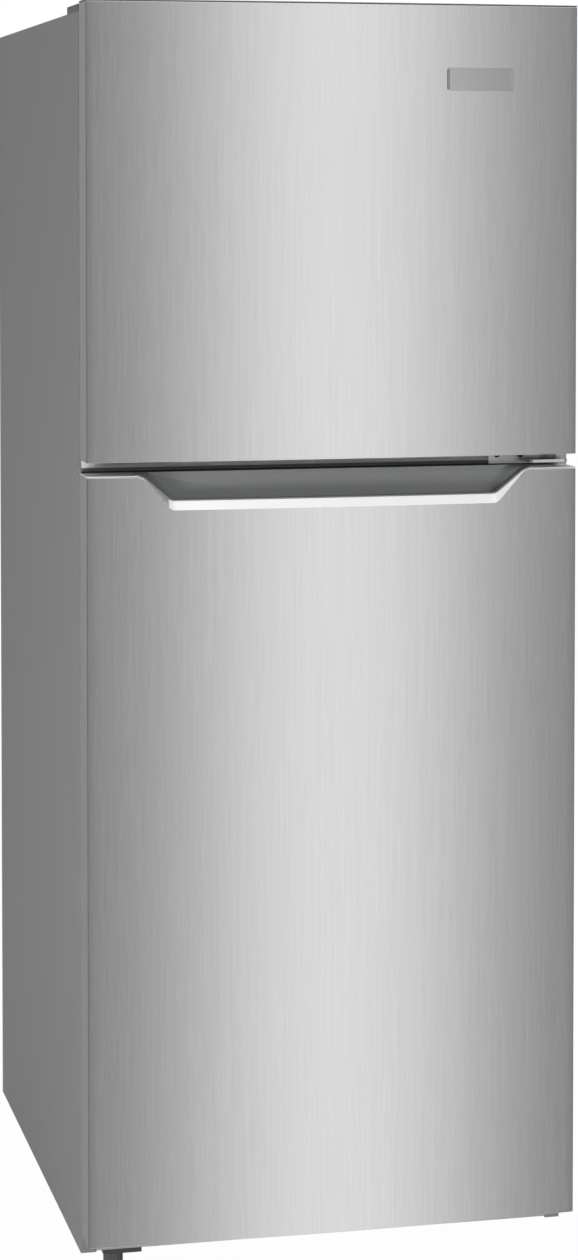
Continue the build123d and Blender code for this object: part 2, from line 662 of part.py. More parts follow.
def make_shelves():
    """The glass panes, and the plastic strips on their front and back edges."""
    with BuildPart() as shelf_glass:
        for z, back in shelf_places():
            block(-SHELF_HALF, SHELF_HALF, SHELF_FRONT, back, z, z + GLASS)
    keep(shelf_glass, "shelf_glass")

    half = INSIDE - LEDGE - 1
    with BuildPart() as shelf_trims:
        for z, back in shelf_places():
            for y0, y1 in ((SHELF_FRONT - 4, SHELF_FRONT + 8), (back - 6, back + 3)):
                block(-half, half, y0, y1, z - 2, z + GLASS + 2)
            block(-SHELF_HALF, SHELF_HALF, SHELF_FRONT, back, z, z + GLASS, mode=Mode.SUBTRACT)
    keep(shelf_trims, "shelf_trims")


def make_crisper():
    """The clear crisper drawer, with a finger notch in its front."""
    low, wall = RUNNER_TOP + GAP, 2.5
    with BuildPart() as crisper_drawer:
        block(-CRISPER_HALF, CRISPER_HALF, CRISPER_FRONT, CRISPER_BACK, low, CRISPER_TOP)
        fillet(crisper_drawer.edges().filter_by(Axis.Z), 8)
        fillet(crisper_drawer.faces().sort_by(Axis.Z)[0].edges(), 4)
        offset(amount=-wall, openings=crisper_drawer.faces().sort_by(Axis.Z)[-1])
        with BuildSketch(Plane.XZ.offset(-CRISPER_FRONT)):
            with Locations((0, CRISPER_TOP)):
                SlotOverall(140, 36)
        extrude(amount=-4, mode=Mode.SUBTRACT)
    keep(crisper_drawer, "crisper_drawer")


# ---------------------------------------------------------------- doors

NOTCH = (240, HINGE_Y - 22, CABINET_TOP - 3)  # left, front and floor of the freezer door's hinge notch


def cut_hinge_notch():
    """Clears the top right rear of the freezer door for the tongue of the top hinge."""
    x, y, z = NOTCH
    block(x, HALF + 1, y, Y_DOOR_BACK + 1, z, HEIGHT + 1, mode=Mode.SUBTRACT)


def make_door_skin(name, door):
    """The brushed sheet over a door's bowed front, wrapped round its two sides."""
    low, high = door[0], door[1] - CAP_LIP
    inner = HALF - SKIN
    with BuildPart() as skin:
        door_slab(-HALF, HALF, Y_DOOR_BACK - 7, low, high)
        fillet(skin.edges().filter_by(Axis.Z).group_by(Axis.Y)[0], 2)
        door_slab(-inner, inner, Y_DOOR_BACK, low - 1, high + 1, inset=SKIN, mode=Mode.SUBTRACT)
        if name == "fridge_door_skin":
            pocket_prism(
                Y_FRONT - 5, Y_DOOR_BACK, POCKET_BOTTOM, POCKET_Z, POCKET_TOP, door[1], Mode.SUBTRACT
            )
        else:
            cut_hinge_notch()
    keep(skin, name)


def door_ribs(door):
    """Bottom and top of the ribs on the inside of a door."""
    return door[0] + 62, door[1] - 72


def make_door_liner(name, door):
    """The white panel on a door's inside, with a hollow rib down each side for the bins."""
    low, high = door_ribs(door)
    half, front = HALF - 4, Y_DOOR_BACK - LINER
    with BuildPart() as liner:
        block(-half, half, front, Y_DOOR_BACK, door[0] + CAP_LIP + GAP, door[1] - CAP_LIP - GAP)
        for side in (-1, 1):
            edges = sorted((side * RIB_IN, side * RIB_OUT))
            block(*edges, front, RIB_BACK, low, high)
        fillet(liner.edges().group_by(Axis.Y)[-1], 4)
        for side in (-1, 1):
            edges = sorted((side * (RIB_IN + LINER), side * (RIB_OUT - LINER)))
            block(*edges, front - 1, RIB_BACK - LINER, low + LINER, high - LINER, mode=Mode.SUBTRACT)
        if name == "freezer_door_liner":
            cut_hinge_notch()
    keep(liner, name)


def make_door_foam(name, door, tops):
    """Insulation inside a door: a bowed slab, small pieces round the handle pocket, and the rib cores."""
    side, back = HALF - SKIN - GAP, Y_DOOR_BACK - LINER - GAP
    inset = SKIN + GAP
    low, high = door_ribs(door)
    bottom = door[0] + CAP_DEPTH + GAP
    with BuildPart() as foam:
        door_slab(-side, side, back, bottom, tops[0], inset=inset)
        if len(tops) == 2:
            z0, z1 = tops[0] + GAP, tops[1]
            room = POCKET_TOP + 6
            door_slab(-side, -room, back, z0, z1, inset=inset)
            door_slab(room, side, back, z0, z1, inset=inset)
            block(-room + GAP, room - GAP, POCKET_BACK + CUP_WALL + GAP, back, z0, z1)
            door_slab(GAP - room, room - GAP, LIP_BACK - GAP, z0, POCKET_Z - GAP, inset=inset)
        for side in (-1, 1):
            edges = sorted((side * (RIB_IN + LINER + GAP), side * (RIB_OUT - LINER - GAP)))
            block(*edges, back + GAP / 2, RIB_BACK - LINER - GAP, low + LINER + GAP, high - LINER - GAP)
    keep(foam, name)


def cap_plug(z0, z1):
    """The part of a door's end cap that fills the space inside its skin."""
    half = HALF - SKIN - GAP
    door_slab(-half, half, Y_DOOR_BACK - LINER - GAP, z0, z1, inset=SKIN + GAP)


def cap_lip(top):
    """The thin lip in a door's full outline, over the top of its skin."""
    door_slab(-HALF, HALF, Y_DOOR_BACK, top - CAP_LIP, top)


def make_freezer_caps():
    """The freezer door's end caps: the top one notched for the hinge, the lower one grooved for fingers."""
    low, high = FREEZER_DOOR
    notch_floor = NOTCH[2]
    with BuildPart() as freezer_top_cap:
        cap_lip(high)
        cap_plug(high - CAP_DEPTH, high)
        block(262, HALF - SKIN - GAP, HINGE_Y - 20, HINGE_Y + 18, high - 37, high - CAP_DEPTH)
        cut_hinge_notch()
        post(HINGE_X, HINGE_Y, high - 35, notch_floor + 1, PIN + FIT, mode=Mode.SUBTRACT)
    keep(freezer_top_cap, "freezer_top_cap")

    with BuildPart() as freezer_bottom_cap:
        cap_plug(low, low + CAP_DEPTH)
        block(-200, 200, Y_FRONT + 18, Y_FRONT + 45, low - 1, low + CAP_DEPTH - 2, mode=Mode.SUBTRACT)
        post(HINGE_X, HINGE_Y, low - 1, low + 17, PIN + FIT, mode=Mode.SUBTRACT)
    keep(freezer_bottom_cap, "freezer_bottom_cap")


def make_fridge_caps():
    """The end caps of the fridge door: the top one open for the handle pocket."""
    low, high = FRIDGE_DOOR
    with BuildPart() as fridge_top_cap:
        cap_lip(high)
        cap_plug(high - CAP_DEPTH, high)
        pocket_prism(
            Y_FRONT - 5, POCKET_BACK + CUP_WALL + GAP, POCKET_BOTTOM + GAP, POCKET_Z,
            POCKET_TOP + 3, high, Mode.SUBTRACT,
        )
        post(HINGE_X, HINGE_Y, high - 19, high + 1, PIN + FIT, mode=Mode.SUBTRACT)
    keep(fridge_top_cap, "fridge_top_cap")

    with BuildPart() as fridge_bottom_cap:
        cap_plug(low, low + CAP_DEPTH)
        post(HINGE_X, HINGE_Y, low - 1, low + 17, PIN + FIT, mode=Mode.SUBTRACT)
    keep(fridge_bottom_cap, "fridge_bottom_cap")


def make_gasket(name, door):
    """The magnetic seal: a grooved rubber frame on the back of a door."""
    inner, low, high = SEAL_OUT - SEAL_WIDTH, door[0] + SEAL_INSET, door[1] - SEAL_INSET
    back = Y_CABINET - GAP
    with BuildPart() as gasket:
        block(-SEAL_OUT, SEAL_OUT, Y_DOOR_BACK, back, low, high)
        fillet(gasket.edges().filter_by(Axis.Y), 4)
        block(
            -inner, inner, Y_DOOR_BACK, back, low + SEAL_WIDTH, high - SEAL_WIDTH, mode=Mode.SUBTRACT
        )
        for groove in (Y_DOOR_BACK + 2, Y_DOOR_BACK + 4.4):
            for side in (-1, 1):
                edges = sorted((side * (SEAL_OUT - 1.5), side * SEAL_OUT))
                block(*edges, groove, groove + 1, low + 5, high - 5, mode=Mode.SUBTRACT)
    keep(gasket, name)


def make_bins(name, bins):
    """The clear bins that hang between the ribs of a door."""
    front = Y_DOOR_BACK + 1
    with BuildPart() as door_bins:
        for z, height in bins:
            block(-BIN_HALF, BIN_HALF, front, BIN_BACK, z, z + height)
        fillet(door_bins.edges().filter_by(Axis.Z).group_by(Axis.Y)[-1], 12)
        for z, height in bins:
            block(
                BIN_WALL - BIN_HALF, BIN_HALF - BIN_WALL, front + BIN_WALL, BIN_BACK - BIN_WALL,
                z + BIN_WALL, z + height + 1, mode=Mode.SUBTRACT,
            )
            for side in (-1, 1):
                edges = sorted((side * BIN_HALF, side * RIB_IN))
                block(*edges, front + 12, front + 36, z + height - 24, z + height - 8)
    keep(door_bins, name)


BADGE_X, BADGE_Z = 178, 1446.8
BADGE_WIDTH, BADGE_HEIGHT, BADGE_PROUD = 83, 27.5, 1.8


def make_badge():
    """A small blank plate near the top right corner of the freezer door."""
    x0, x1 = BADGE_X - BADGE_WIDTH, BADGE_X + BADGE_WIDTH
    z0, z1 = BADGE_Z - BADGE_HEIGHT, BADGE_Z + BADGE_HEIGHT
    with BuildPart() as badge:
        door_slab(x0, x1, Y_EDGE, z0, z1, inset=-BADGE_PROUD)
        with BuildSketch(Plane.XZ.offset(-Y_EDGE)):
            with Locations((BADGE_X, BADGE_Z)):
                RectangleRounded(BADGE_WIDTH, BADGE_HEIGHT, 2.5)
        extrude(amount=20, mode=Mode.INTERSECT)
        door_slab(x0 - 1, x1 + 1, Y_EDGE + 5, z0 - 1, z1 + 1, mode=Mode.SUBTRACT)
    keep(badge, "badge")


def flare():
    """The space in front of the handle rim: above a slope along the bow, and between two slanted planes."""
    slope = (RIM_Z - POCKET_Z) / RIM_DEPTH
    ahead = 5
    with BuildPart() as space:
        with BuildSketch(Plane.YZ):
            with BuildLine():
                Polyline(
                    (Y_FRONT - ahead, POCKET_Z - ahead * slope),
                    (Y_FRONT + RIM_DEPTH, RIM_Z),
                    (LIP_BACK + 10, RIM_Z),
                    (LIP_BACK + 10, RIM_Z + 60),
                    (Y_FRONT - ahead, RIM_Z + 60),
                    close=True,
                )
            make_face()
        revolve(axis=Axis((0, BOW_CENTRE, 0), (0, 0, 1)), revolution_arc=360)
        for side in (-1, 1):
            low = Vector(side * POCKET_BOTTOM, bow_y(POCKET_BOTTOM), POCKET_Z)
            high = Vector(side * POCKET_TOP, bow_y(POCKET_TOP), FRIDGE_DOOR[1])
            deep = Vector(side * RIM_BOTTOM, bow_y(RIM_BOTTOM) + RIM_DEPTH, RIM_Z)
            outward = (high - low).cross(deep - low)
            if outward.X * side < 0:
                outward = -outward
            split(bisect_by=Plane(origin=low, z_dir=outward), keep=Keep.BOTTOM)
    return space.part


def make_handle():
    """The grip pocket in the lower door's top edge: a dark cup, and a bright bevelled rim before it."""
    top = FRIDGE_DOOR[1]
    wall = CUP_WALL
    with BuildPart() as handle_cup:
        front = trapezium(LIP_BACK, FLOOR_HALF + wall, POCKET_FLOOR - wall, RIM_TOP + wall, top)
        rear = trapezium(
            POCKET_BACK + wall, FLOOR_HALF + wall - 2, POCKET_FLOOR - wall, BACK_TOP + wall, top
        )
        loft([front, rear])
        front = trapezium(LIP_BACK + wall, FLOOR_HALF, POCKET_FLOOR, RIM_TOP, top)
        rear = trapezium(POCKET_BACK, FLOOR_HALF - 2, POCKET_FLOOR, BACK_TOP, top)
        loft([front, rear], mode=Mode.SUBTRACT)
        pocket_prism(LIP_BACK - 1, LIP_BACK + wall, RIM_BOTTOM, RIM_Z, RIM_TOP, top, Mode.SUBTRACT)
    keep(handle_cup, "handle_cup")

    with BuildPart() as handle_trim:
        door_slab(-POCKET_TOP - 8, POCKET_TOP + 8, LIP_BACK, POCKET_Z, top)
        pocket_prism(
            Y_FRONT - 5, LIP_BACK, POCKET_BOTTOM, POCKET_Z, POCKET_TOP, top, Mode.INTERSECT
        )
        add(flare(), mode=Mode.SUBTRACT)
    keep(handle_trim, "handle_trim")


def make_cabinet():
    """Everything that stands still, from the outside in."""
    make_side_panel("side_panel_left", -1)
    make_side_panel("side_panel_right", 1)
    make_cabinet_top()
    make_cabinet_back()
    make_cabinet_foam()
    make_liner("freezer_liner", FREEZER, (RAIL[1], CABINET_TOP - FLANGE), (FREEZER_SHELF,), False)
    make_liner("fridge_liner", FRIDGE, (BAY_FLOOR + GAP, RAIL[0]), (*FRIDGE_SHELVES, CRISPER_COVER), True)
    make_mid_rail()
    make_top_cover()
    make_base_frame()
    make_top_hinge()
    make_mid_hinge()
    make_bottom_hinge()
    make_hinge_screws()
    make_hinge_spacers()


def make_undercarriage():
    """Feet and rollers with their brackets."""
    make_foot_brackets()
    make_foot("foot_left", -FOOT_X, FOOT_Y[0])
    make_foot("foot_right", FOOT_X, FOOT_Y[1])
    make_roller_brackets()
    make_roller("roller_left", -ROLLER_X)
    make_roller("roller_right", ROLLER_X)


def make_doors():
    """Both doors, each an assembly of skin, foam, liner, caps, seal and bins."""
    make_door_skin("freezer_door_skin", FREEZER_DOOR)
    make_door_foam("freezer_door_foam", FREEZER_DOOR, (HEIGHT - 38,))
    make_door_liner("freezer_door_liner", FREEZER_DOOR)
    make_freezer_caps()
    make_gasket("freezer_gasket", FREEZER_DOOR)
    make_bins("freezer_door_bins", FREEZER_BINS)
    make_badge()
    make_door_skin("fridge_door_skin", FRIDGE_DOOR)
    make_door_foam("fridge_door_foam", FRIDGE_DOOR, (920, FRIDGE_DOOR[1] - CAP_DEPTH - GAP))
    make_door_liner("fridge_door_liner", FRIDGE_DOOR)
    make_fridge_caps()
    make_gasket("fridge_gasket", FRIDGE_DOOR)
    make_bins("fridge_door_bins", FRIDGE_BINS)
    make_handle()


make_cabinet()
make_undercarriage()
make_compressor()
make_pipes()
make_bay_fittings()
make_evaporator()
make_fan()
make_evaporator_cover()
make_controls()
make_shelves()
make_crisper()
make_doors()
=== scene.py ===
# %% [markdown]
# # A top freezer refrigerator in a white studio
# The real object is a steel cabinet with two bowed doors that share one hinge line on the right. The lower door has a
# grip pocket in its top edge, so there are no bar handles.
#
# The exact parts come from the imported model. This lesson gives every part its finish, and models again the pieces that
# the eye goes to first: the door skins, the grip, the badge, the knob, the fan and the screws.

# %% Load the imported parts
import json
import math

import bmesh
import bpy
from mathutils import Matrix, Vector


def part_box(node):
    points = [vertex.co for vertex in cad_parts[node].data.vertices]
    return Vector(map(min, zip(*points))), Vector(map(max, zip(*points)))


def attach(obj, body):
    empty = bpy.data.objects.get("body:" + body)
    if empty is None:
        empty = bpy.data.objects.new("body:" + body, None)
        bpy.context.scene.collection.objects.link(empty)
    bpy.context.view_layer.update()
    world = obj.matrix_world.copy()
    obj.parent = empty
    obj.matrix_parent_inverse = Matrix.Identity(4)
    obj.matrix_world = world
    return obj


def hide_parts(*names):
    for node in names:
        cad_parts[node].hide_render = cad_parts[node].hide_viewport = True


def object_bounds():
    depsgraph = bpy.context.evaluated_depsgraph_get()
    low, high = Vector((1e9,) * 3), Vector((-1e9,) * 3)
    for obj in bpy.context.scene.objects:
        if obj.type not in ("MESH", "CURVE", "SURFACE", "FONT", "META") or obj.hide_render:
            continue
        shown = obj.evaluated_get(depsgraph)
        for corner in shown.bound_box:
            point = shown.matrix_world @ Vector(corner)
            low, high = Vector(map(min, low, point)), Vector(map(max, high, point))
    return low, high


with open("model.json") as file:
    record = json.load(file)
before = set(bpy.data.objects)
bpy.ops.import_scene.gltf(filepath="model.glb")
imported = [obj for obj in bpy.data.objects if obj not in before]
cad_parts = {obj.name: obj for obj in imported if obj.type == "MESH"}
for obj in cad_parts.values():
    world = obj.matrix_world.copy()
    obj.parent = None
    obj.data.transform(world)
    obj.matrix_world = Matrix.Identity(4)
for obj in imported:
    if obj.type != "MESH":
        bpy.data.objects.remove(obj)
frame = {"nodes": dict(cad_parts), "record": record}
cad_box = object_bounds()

nodes = frame["nodes"]
low, high = (Vector(corner) for corner in cad_box)
print("parts:", len(nodes), "size:", [round(v, 3) for v in high - low])

# %% [markdown]
# ## Camera
# The view is from the left of the doors, with the lens a little under the cabinet's top. A shift lens keeps the
# uprights parallel, and the camera does the same: it looks almost level, and its frame is shifted down.

# %% Camera
CAMERA_PLACE = (-0.896, -4.004, 1.317)
CAMERA_TURN = math.radians(13.0)  # from straight ahead towards the hinge side
CAMERA_DIP = math.radians(2.34)
LENS = 89.4
FRAME_SHIFT = -0.25

camera_data = bpy.data.cameras.new("camera")
camera_data.lens = LENS
camera_data.sensor_width = 36
camera_data.shift_y = FRAME_SHIFT
camera_data.clip_start = 0.05
camera = bpy.data.objects.new("camera", camera_data)
camera.location = CAMERA_PLACE
camera.rotation_euler = (math.pi / 2 - CAMERA_DIP, 0, -CAMERA_TURN)
bpy.context.scene.collection.objects.link(camera)
bpy.context.scene.camera = camera
bpy.context.scene.view_settings.view_transform = "Standard"
print("camera at", CAMERA_PLACE)

# %% [markdown]
# ## Shader maths as plain expressions
# A material is a small network of nodes. Writing `speckle * 0.2 + 0.4` is easier to read than placing two Math nodes,
# so a socket is wrapped in a class that adds the nodes when the operators are used.


# %% Shader maths
class Signal:
    """A number that changes over a surface or with direction."""

    def __init__(self, network, socket):
        self.network, self.socket = network, socket

    def maths(self, operation, first, second=0.0):
        made = self.network.add("ShaderNodeMath", {"operation": operation}, {0: first, 1: second})
        return Signal(self.network, made.outputs[0])

    def __add__(self, other):
        return self.maths("ADD", self, other)

    __radd__ = __add__

    def __mul__(self, other):
        return self.maths("MULTIPLY", self, other)

    __rmul__ = __mul__

    def __sub__(self, other):
        return self.maths("SUBTRACT", self, other)

    def __rsub__(self, other):
        return self.maths("SUBTRACT", other, self)


class Network:
    """A node tree that takes new nodes one by one."""

    def __init__(self, tree):
        self.tree = tree

    def add(self, kind, settings=None, inputs=None):
        """Adds a node, sets it up, and gives its sockets values or links."""
        made = self.tree.nodes.new(kind)
        for key, value in (settings or {}).items():
            setattr(made, key, value)
        for key, value in (inputs or {}).items():
            self.feed(made.inputs[key], value)
        return made

    def feed(self, socket, value):
        if isinstance(value, Signal):
            value = value.socket
        if isinstance(value, bpy.types.NodeSocket):
            self.tree.links.new(value, socket)
        else:
            socket.default_value = value


finishes = {}


class Finish(Network):
    """A material in the making: its node tree and its main shader."""

    def __init__(self, name):
        self.material = bpy.data.materials.new(name)
        finishes[name] = self.material
        self.material.use_nodes = True
        super().__init__(self.material.node_tree)
        self.shader = self.tree.nodes["Principled BSDF"]

    def place(self, stretch=(1, 1, 1)):
        """Object coordinates in metres, stretched by a factor along each axis."""
        spot = self.add("ShaderNodeTexCoord").outputs["Object"]
        return self.add("ShaderNodeMapping", None, {"Vector": spot, "Scale": stretch}).outputs[0]

    def noise(self, scale, stretch=(1, 1, 1), detail=2.0, roughness=0.5):
        """Soft random speckle between about 0.3 and 0.7."""
        settings = {"Vector": self.place(stretch), "Scale": scale, "Detail": detail, "Roughness": roughness}
        made = self.add("ShaderNodeTexNoise", None, settings)
        return Signal(self, made.outputs["Fac"])

    def blend(self, amount, first, second):
        """A colour between two colours."""
        made = self.add("ShaderNodeMix", {"data_type": "RGBA", "clamp_factor": True})
        self.feed(made.inputs[0], amount)
        self.feed(made.inputs[6], first)
        self.feed(made.inputs[7], second)
        return made.outputs[2]

    def bump(self, height, strength, distance):
        """Tilts the surface by a height map, in metres."""
        inputs = {"Height": height, "Strength": strength, "Distance": distance}
        self.feed(self.shader.inputs["Normal"], self.add("ShaderNodeBump", None, inputs).outputs[0])

    def set(self, **values):
        """Sets the main shader's sockets; an underscore stands for a space."""
        for key, value in values.items():
            self.feed(self.shader.inputs[key.replace("_", " ")], value)


def shade(colour, factor):
    """A colour made lighter or darker, with its alpha."""
    return (*(min(1.0, channel * factor) for channel in colour), 1.0)


print("shader tools ready")

# %% [markdown]
# ## Brushed door steel
# The doors are stainless sheet, brushed up and down. Brushing leaves fine grooves, so the sheet is slightly uneven in
# tone from groove to groove and even along each one. A noise pattern squeezed in X and drawn out in Z gives that. Two
# widths are mixed: hair-fine lines, and broader faint bands that show from across a room.


# %% Brushed steel
def brushed_steel(name, colour, roughness):
    finish = Finish(name)
    hair = finish.noise(1.0, (1500, 1500, 22), 3.0, 0.6)
    band = finish.noise(1.0, (300, 300, 5), 3.0, 0.6)
    tone = hair * 0.65 + band * 0.35
    finish.set(
        Base_Color=finish.blend((tone - 0.5) * 1.5 + 0.5, shade(colour, 0.88), shade(colour, 1.11)),
        Roughness=(hair - 0.5) * 0.04 + roughness,
        Metallic=1.0,
    )


brushed_steel("door_steel", (0.655, 0.66, 0.659), 0.24)
print("finishes:", len(finishes))

# %% [markdown]
# ## Painted cabinet
# The cabinet is coil-coated steel. Its paint has a faint orange-peel ripple, and its gloss wanders a little, which is
# what keeps a large flat side from looking like a drawing.


# %% Painted sheet
def painted_sheet(name, colour, roughness):
    finish = Finish(name)
    cloud = finish.noise(3.0, detail=3.0)
    peel = finish.noise(260.0, detail=2.0)
    finish.set(
        Base_Color=finish.blend(cloud, shade(colour, 0.96), shade(colour, 1.04)),
        Roughness=(cloud - 0.5) * 0.12 + roughness,
        Coat_Weight=0.15,
        Coat_Roughness=0.2,
    )
    finish.bump(peel, 0.05, 0.0004)


painted_sheet("cabinet_paint", (0.245, 0.25, 0.25), 0.42)
painted_sheet("black_paint", (0.045, 0.046, 0.047), 0.4)
painted_sheet("compressor_black", (0.01, 0.01, 0.011), 0.25)
print("finishes:", len(finishes))

# %% [markdown]
# ## Plastics and rubber
# Moulded parts differ mostly in gloss and in the size of their grain. Outer trim has a fine spark-eroded grain, the
# liner is smooth vacuum-formed sheet, and rubber is matt with a dusty bloom.


# %% Plastics
def moulded(name, colour, roughness, grain=900.0, depth=0.06, variation=0.04):
    finish = Finish(name)
    texture = finish.noise(grain, detail=2.0)
    bloom = finish.noise(8.0, detail=3.0)
    finish.set(
        Base_Color=finish.blend(bloom, shade(colour, 1 - variation), shade(colour, 1 + variation)),
        Roughness=(bloom - 0.5) * 0.05 + roughness,
    )
    finish.bump(texture, depth, 0.0003)


def clear_moulding(name, colour, roughness, opacity):
    """See-through plastic: mostly clear, with its gloss and a little of its own tint."""
    finish = Finish(name)
    haze = finish.noise(12.0, detail=2.0)
    finish.set(
        Base_Color=finish.blend(haze, shade(colour, 0.97), shade(colour, 1.0)),
        Roughness=(haze - 0.5) * 0.06 + roughness,
        Alpha=(haze - 0.5) * 0.05 + opacity,
        Coat_Weight=0.6,
        Coat_Roughness=0.05,
    )


moulded("liner_white", (0.80, 0.81, 0.81), 0.34, 700.0, 0.03, 0.01)
moulded("white_plastic", (0.76, 0.77, 0.77), 0.35)
moulded("dark_plastic", (0.045, 0.046, 0.047), 0.42)
moulded("cap_grey", (0.13, 0.131, 0.13), 0.4)
moulded("cup_grey", (0.19, 0.2, 0.193), 0.38)
moulded("black_plastic", (0.11, 0.11, 0.11), 0.45)
# door_cap's light grey is a painted highlight for the lit front edge of the lower door's top cap
moulded("door_cap", (0.70, 0.703, 0.70), 0.4)
moulded("seal_grey", (0.42, 0.43, 0.43), 0.65, 500.0, 0.05)
moulded("rubber_black", (0.014, 0.014, 0.014), 0.75, 500.0, 0.1)
moulded("nylon", (0.62, 0.62, 0.60), 0.4)
clear_moulding("clear_plastic", (0.80, 0.86, 0.90), 0.12, 0.30)
clear_moulding("lens", (0.92, 0.92, 0.88), 0.35, 0.82)
clear_moulding("shelf_glass", (0.62, 0.80, 0.74), 0.04, 0.22)
print("finishes:", len(finishes))

# %% [markdown]
# ## The strip between the doors
# The strip behind the gap is one moulding, and its colour carries painted light and shade: a light upper band, a
# painted highlight lightened to make up for the shade it sits in; painted shade below it; and a black foot, the painted
# shadow in the gap behind it. The tones are painted by height, with two steep ramps of Object Z, because the whole
# strip is only a finger's width tall.


# %% Strip with painted light and shade
def strip_with_painted_light(name, painted_tones, levels):
    """Painted light and shade as grey tones from the bottom up, each one starting at its level."""
    finish = Finish(name)
    height = Signal(finish, finish.add("ShaderNodeSeparateXYZ", None, {0: finish.place()}).outputs[2])
    colour = shade(painted_tones[0], 1)
    for level, tone in zip(levels, painted_tones[1:]):
        colour = finish.blend((height - level) * BAND_STEEPNESS, colour, shade(tone, 1))
    finish.set(Base_Color=colour, Roughness=(finish.noise(30.0) - 0.5) * 0.1 + 0.35)
    finish.bump(finish.noise(900.0), 0.05, 0.0002)


BAND_STEEPNESS = 4000.0  # the blend runs over a quarter of a millimetre
# painted shadow at the foot, painted shade above it, and a painted highlight on the upper band
strip_with_painted_light("rail_plastic", ((0.008,) * 3, (0.12,) * 3, (0.85,) * 3), (0.9773, 0.9813))
print("finishes:", len(finishes))

# %% [markdown]
# ## Plated and bare metals
# The hinges are bright zinc, the base is galvanised sheet with its crystal pattern, the pipes are bare copper and the
# evaporator is thin aluminium. The crystals come from a cell pattern, which gives each cell its own grey.


# %% Metals
def plated(name, colour, roughness, mottle=0.1):
    finish = Finish(name)
    smear = finish.noise(45.0, detail=4.0)
    finish.set(
        Base_Color=finish.blend(smear, shade(colour, 1 - mottle), shade(colour, 1 + mottle)),
        Roughness=(smear - 0.5) * 0.06 + roughness,
        Metallic=1.0,
    )
    finish.bump(finish.noise(700.0), 0.03, 0.0002)


def galvanised_sheet(name, colour):
    finish = Finish(name)
    inputs = {"Vector": finish.place(), "Scale": 90.0}
    cells = finish.add("ShaderNodeTexVoronoi", None, inputs).outputs["Color"]
    crystal = Signal(finish, finish.add("ShaderNodeSeparateColor", None, {0: cells}).outputs[0])
    finish.set(
        Base_Color=finish.blend(crystal, shade(colour, 0.86), shade(colour, 1.1)),
        Roughness=crystal * 0.14 + 0.34,
        Metallic=0.9,
    )


plated("zinc", (0.90, 0.91, 0.92), 0.42, 0.02)
plated("screw_steel", (0.09, 0.09, 0.095), 0.4)
plated("silver_trim", (0.90, 0.905, 0.905), 0.28, 0.015)
plated("badge_metal", (0.52, 0.525, 0.525), 0.26, 0.01)
plated("copper", (0.72, 0.36, 0.22), 0.3, 0.18)
plated("fin_aluminium", (0.75, 0.76, 0.77), 0.35)
galvanised_sheet("galvanised", (0.52, 0.54, 0.55))
moulded("foam", (0.72, 0.62, 0.38), 0.85, 220.0, 0.5, 0.1)
print("finishes:", len(finishes))

# %% [markdown]
# ## Dressing the imported parts
# The record says which material slot each part uses. The finishes above carry the same names, so one loop dresses
# every part. The cap along the lower door's top edge is the exception: it gets a lighter grey than its slot, a painted
# highlight for the light that its front edge catches, because only that edge shows.

# %% Dress the imported parts
for row in frame["record"]["subparts"]:
    mesh = nodes[row["node"]].data
    mesh.materials.clear()
    mesh.materials.append(finishes[row["material_slot"]])
# the lighter door_cap grey is a painted highlight on the cap's front edge
nodes["fridge_top_cap"].data.materials[0] = finishes["door_cap"]

# %% [markdown]
# ## Working in edit mode from a script
# New pieces are modelled with the same operators as by hand. An operator works on what is selected, so these helpers
# start a piece with nothing else selected, pick its faces, edges or corners by where they are, and finish it.


# %% Modelling helpers
NEAR = 1e-5  # two places closer than this are the same place


def choose(piece):
    """Selects one piece and makes it the active one."""
    bpy.ops.object.select_all(action="DESELECT")
    piece.select_set(True)
    bpy.context.view_layer.objects.active = piece


def begin(name, add, **settings):
    """Adds a primitive as a new piece and opens it in edit mode."""
    bpy.ops.object.select_all(action="DESELECT")
    add(**settings)
    piece = bpy.context.object
    piece.name = name
    bpy.ops.object.transform_apply(location=True, rotation=True, scale=True)
    bpy.ops.object.mode_set(mode="EDIT")
    return piece


def middle(part):
    """The middle of a corner, an edge or a face."""
    if hasattr(part, "co"):
        return part.co
    return sum((corner.co for corner in part.verts), Vector()) / len(part.verts)


def pick(kind, test):
    """Selects the verts, edges or faces whose middle passes a test, and nothing else."""
    modes = {"verts": (True, False, False), "edges": (False, True, False), "faces": (False, False, True)}
    bpy.context.tool_settings.mesh_select_mode = modes[kind]
    bpy.ops.mesh.select_all(action="DESELECT")
    shape = bmesh.from_edit_mesh(bpy.context.object.data)
    for part in getattr(shape, kind):
        if test(middle(part)):
            part.select_set(True)
    shape.select_flush_mode()
    bmesh.update_edit_mesh(bpy.context.object.data)


def apply_modifier(piece, kind, **settings):
    """Adds a modifier and applies it at once."""
    made = piece.modifiers.new(kind.lower(), kind)
    for key, value in settings.items():
        setattr(made, key, value)
    choose(piece)
    bpy.ops.object.modifier_apply(modifier=made.name)


def move_line(place):
    """Moves the selected corners, each to the place that a rule gives for it."""
    shape = bmesh.from_edit_mesh(bpy.context.object.data)
    for corner in shape.verts:
        if corner.select:
            corner.co = place(corner.co)
    bmesh.update_edit_mesh(bpy.context.object.data)


def block(name, start, end):
    """A box between two corners, open in edit mode."""
    piece = begin(name, bpy.ops.mesh.primitive_cube_add, size=1)
    bpy.ops.mesh.select_all(action="SELECT")
    move_line(lambda spot: [(start, end)[value > 0][axis] for axis, value in enumerate(spot)])
    return piece


def close_up():
    """Turns all faces of the open piece outwards and leaves edit mode."""
    bpy.ops.mesh.select_all(action="SELECT")
    bpy.ops.mesh.normals_make_consistent(inside=False)
    bpy.ops.object.mode_set(mode="OBJECT")


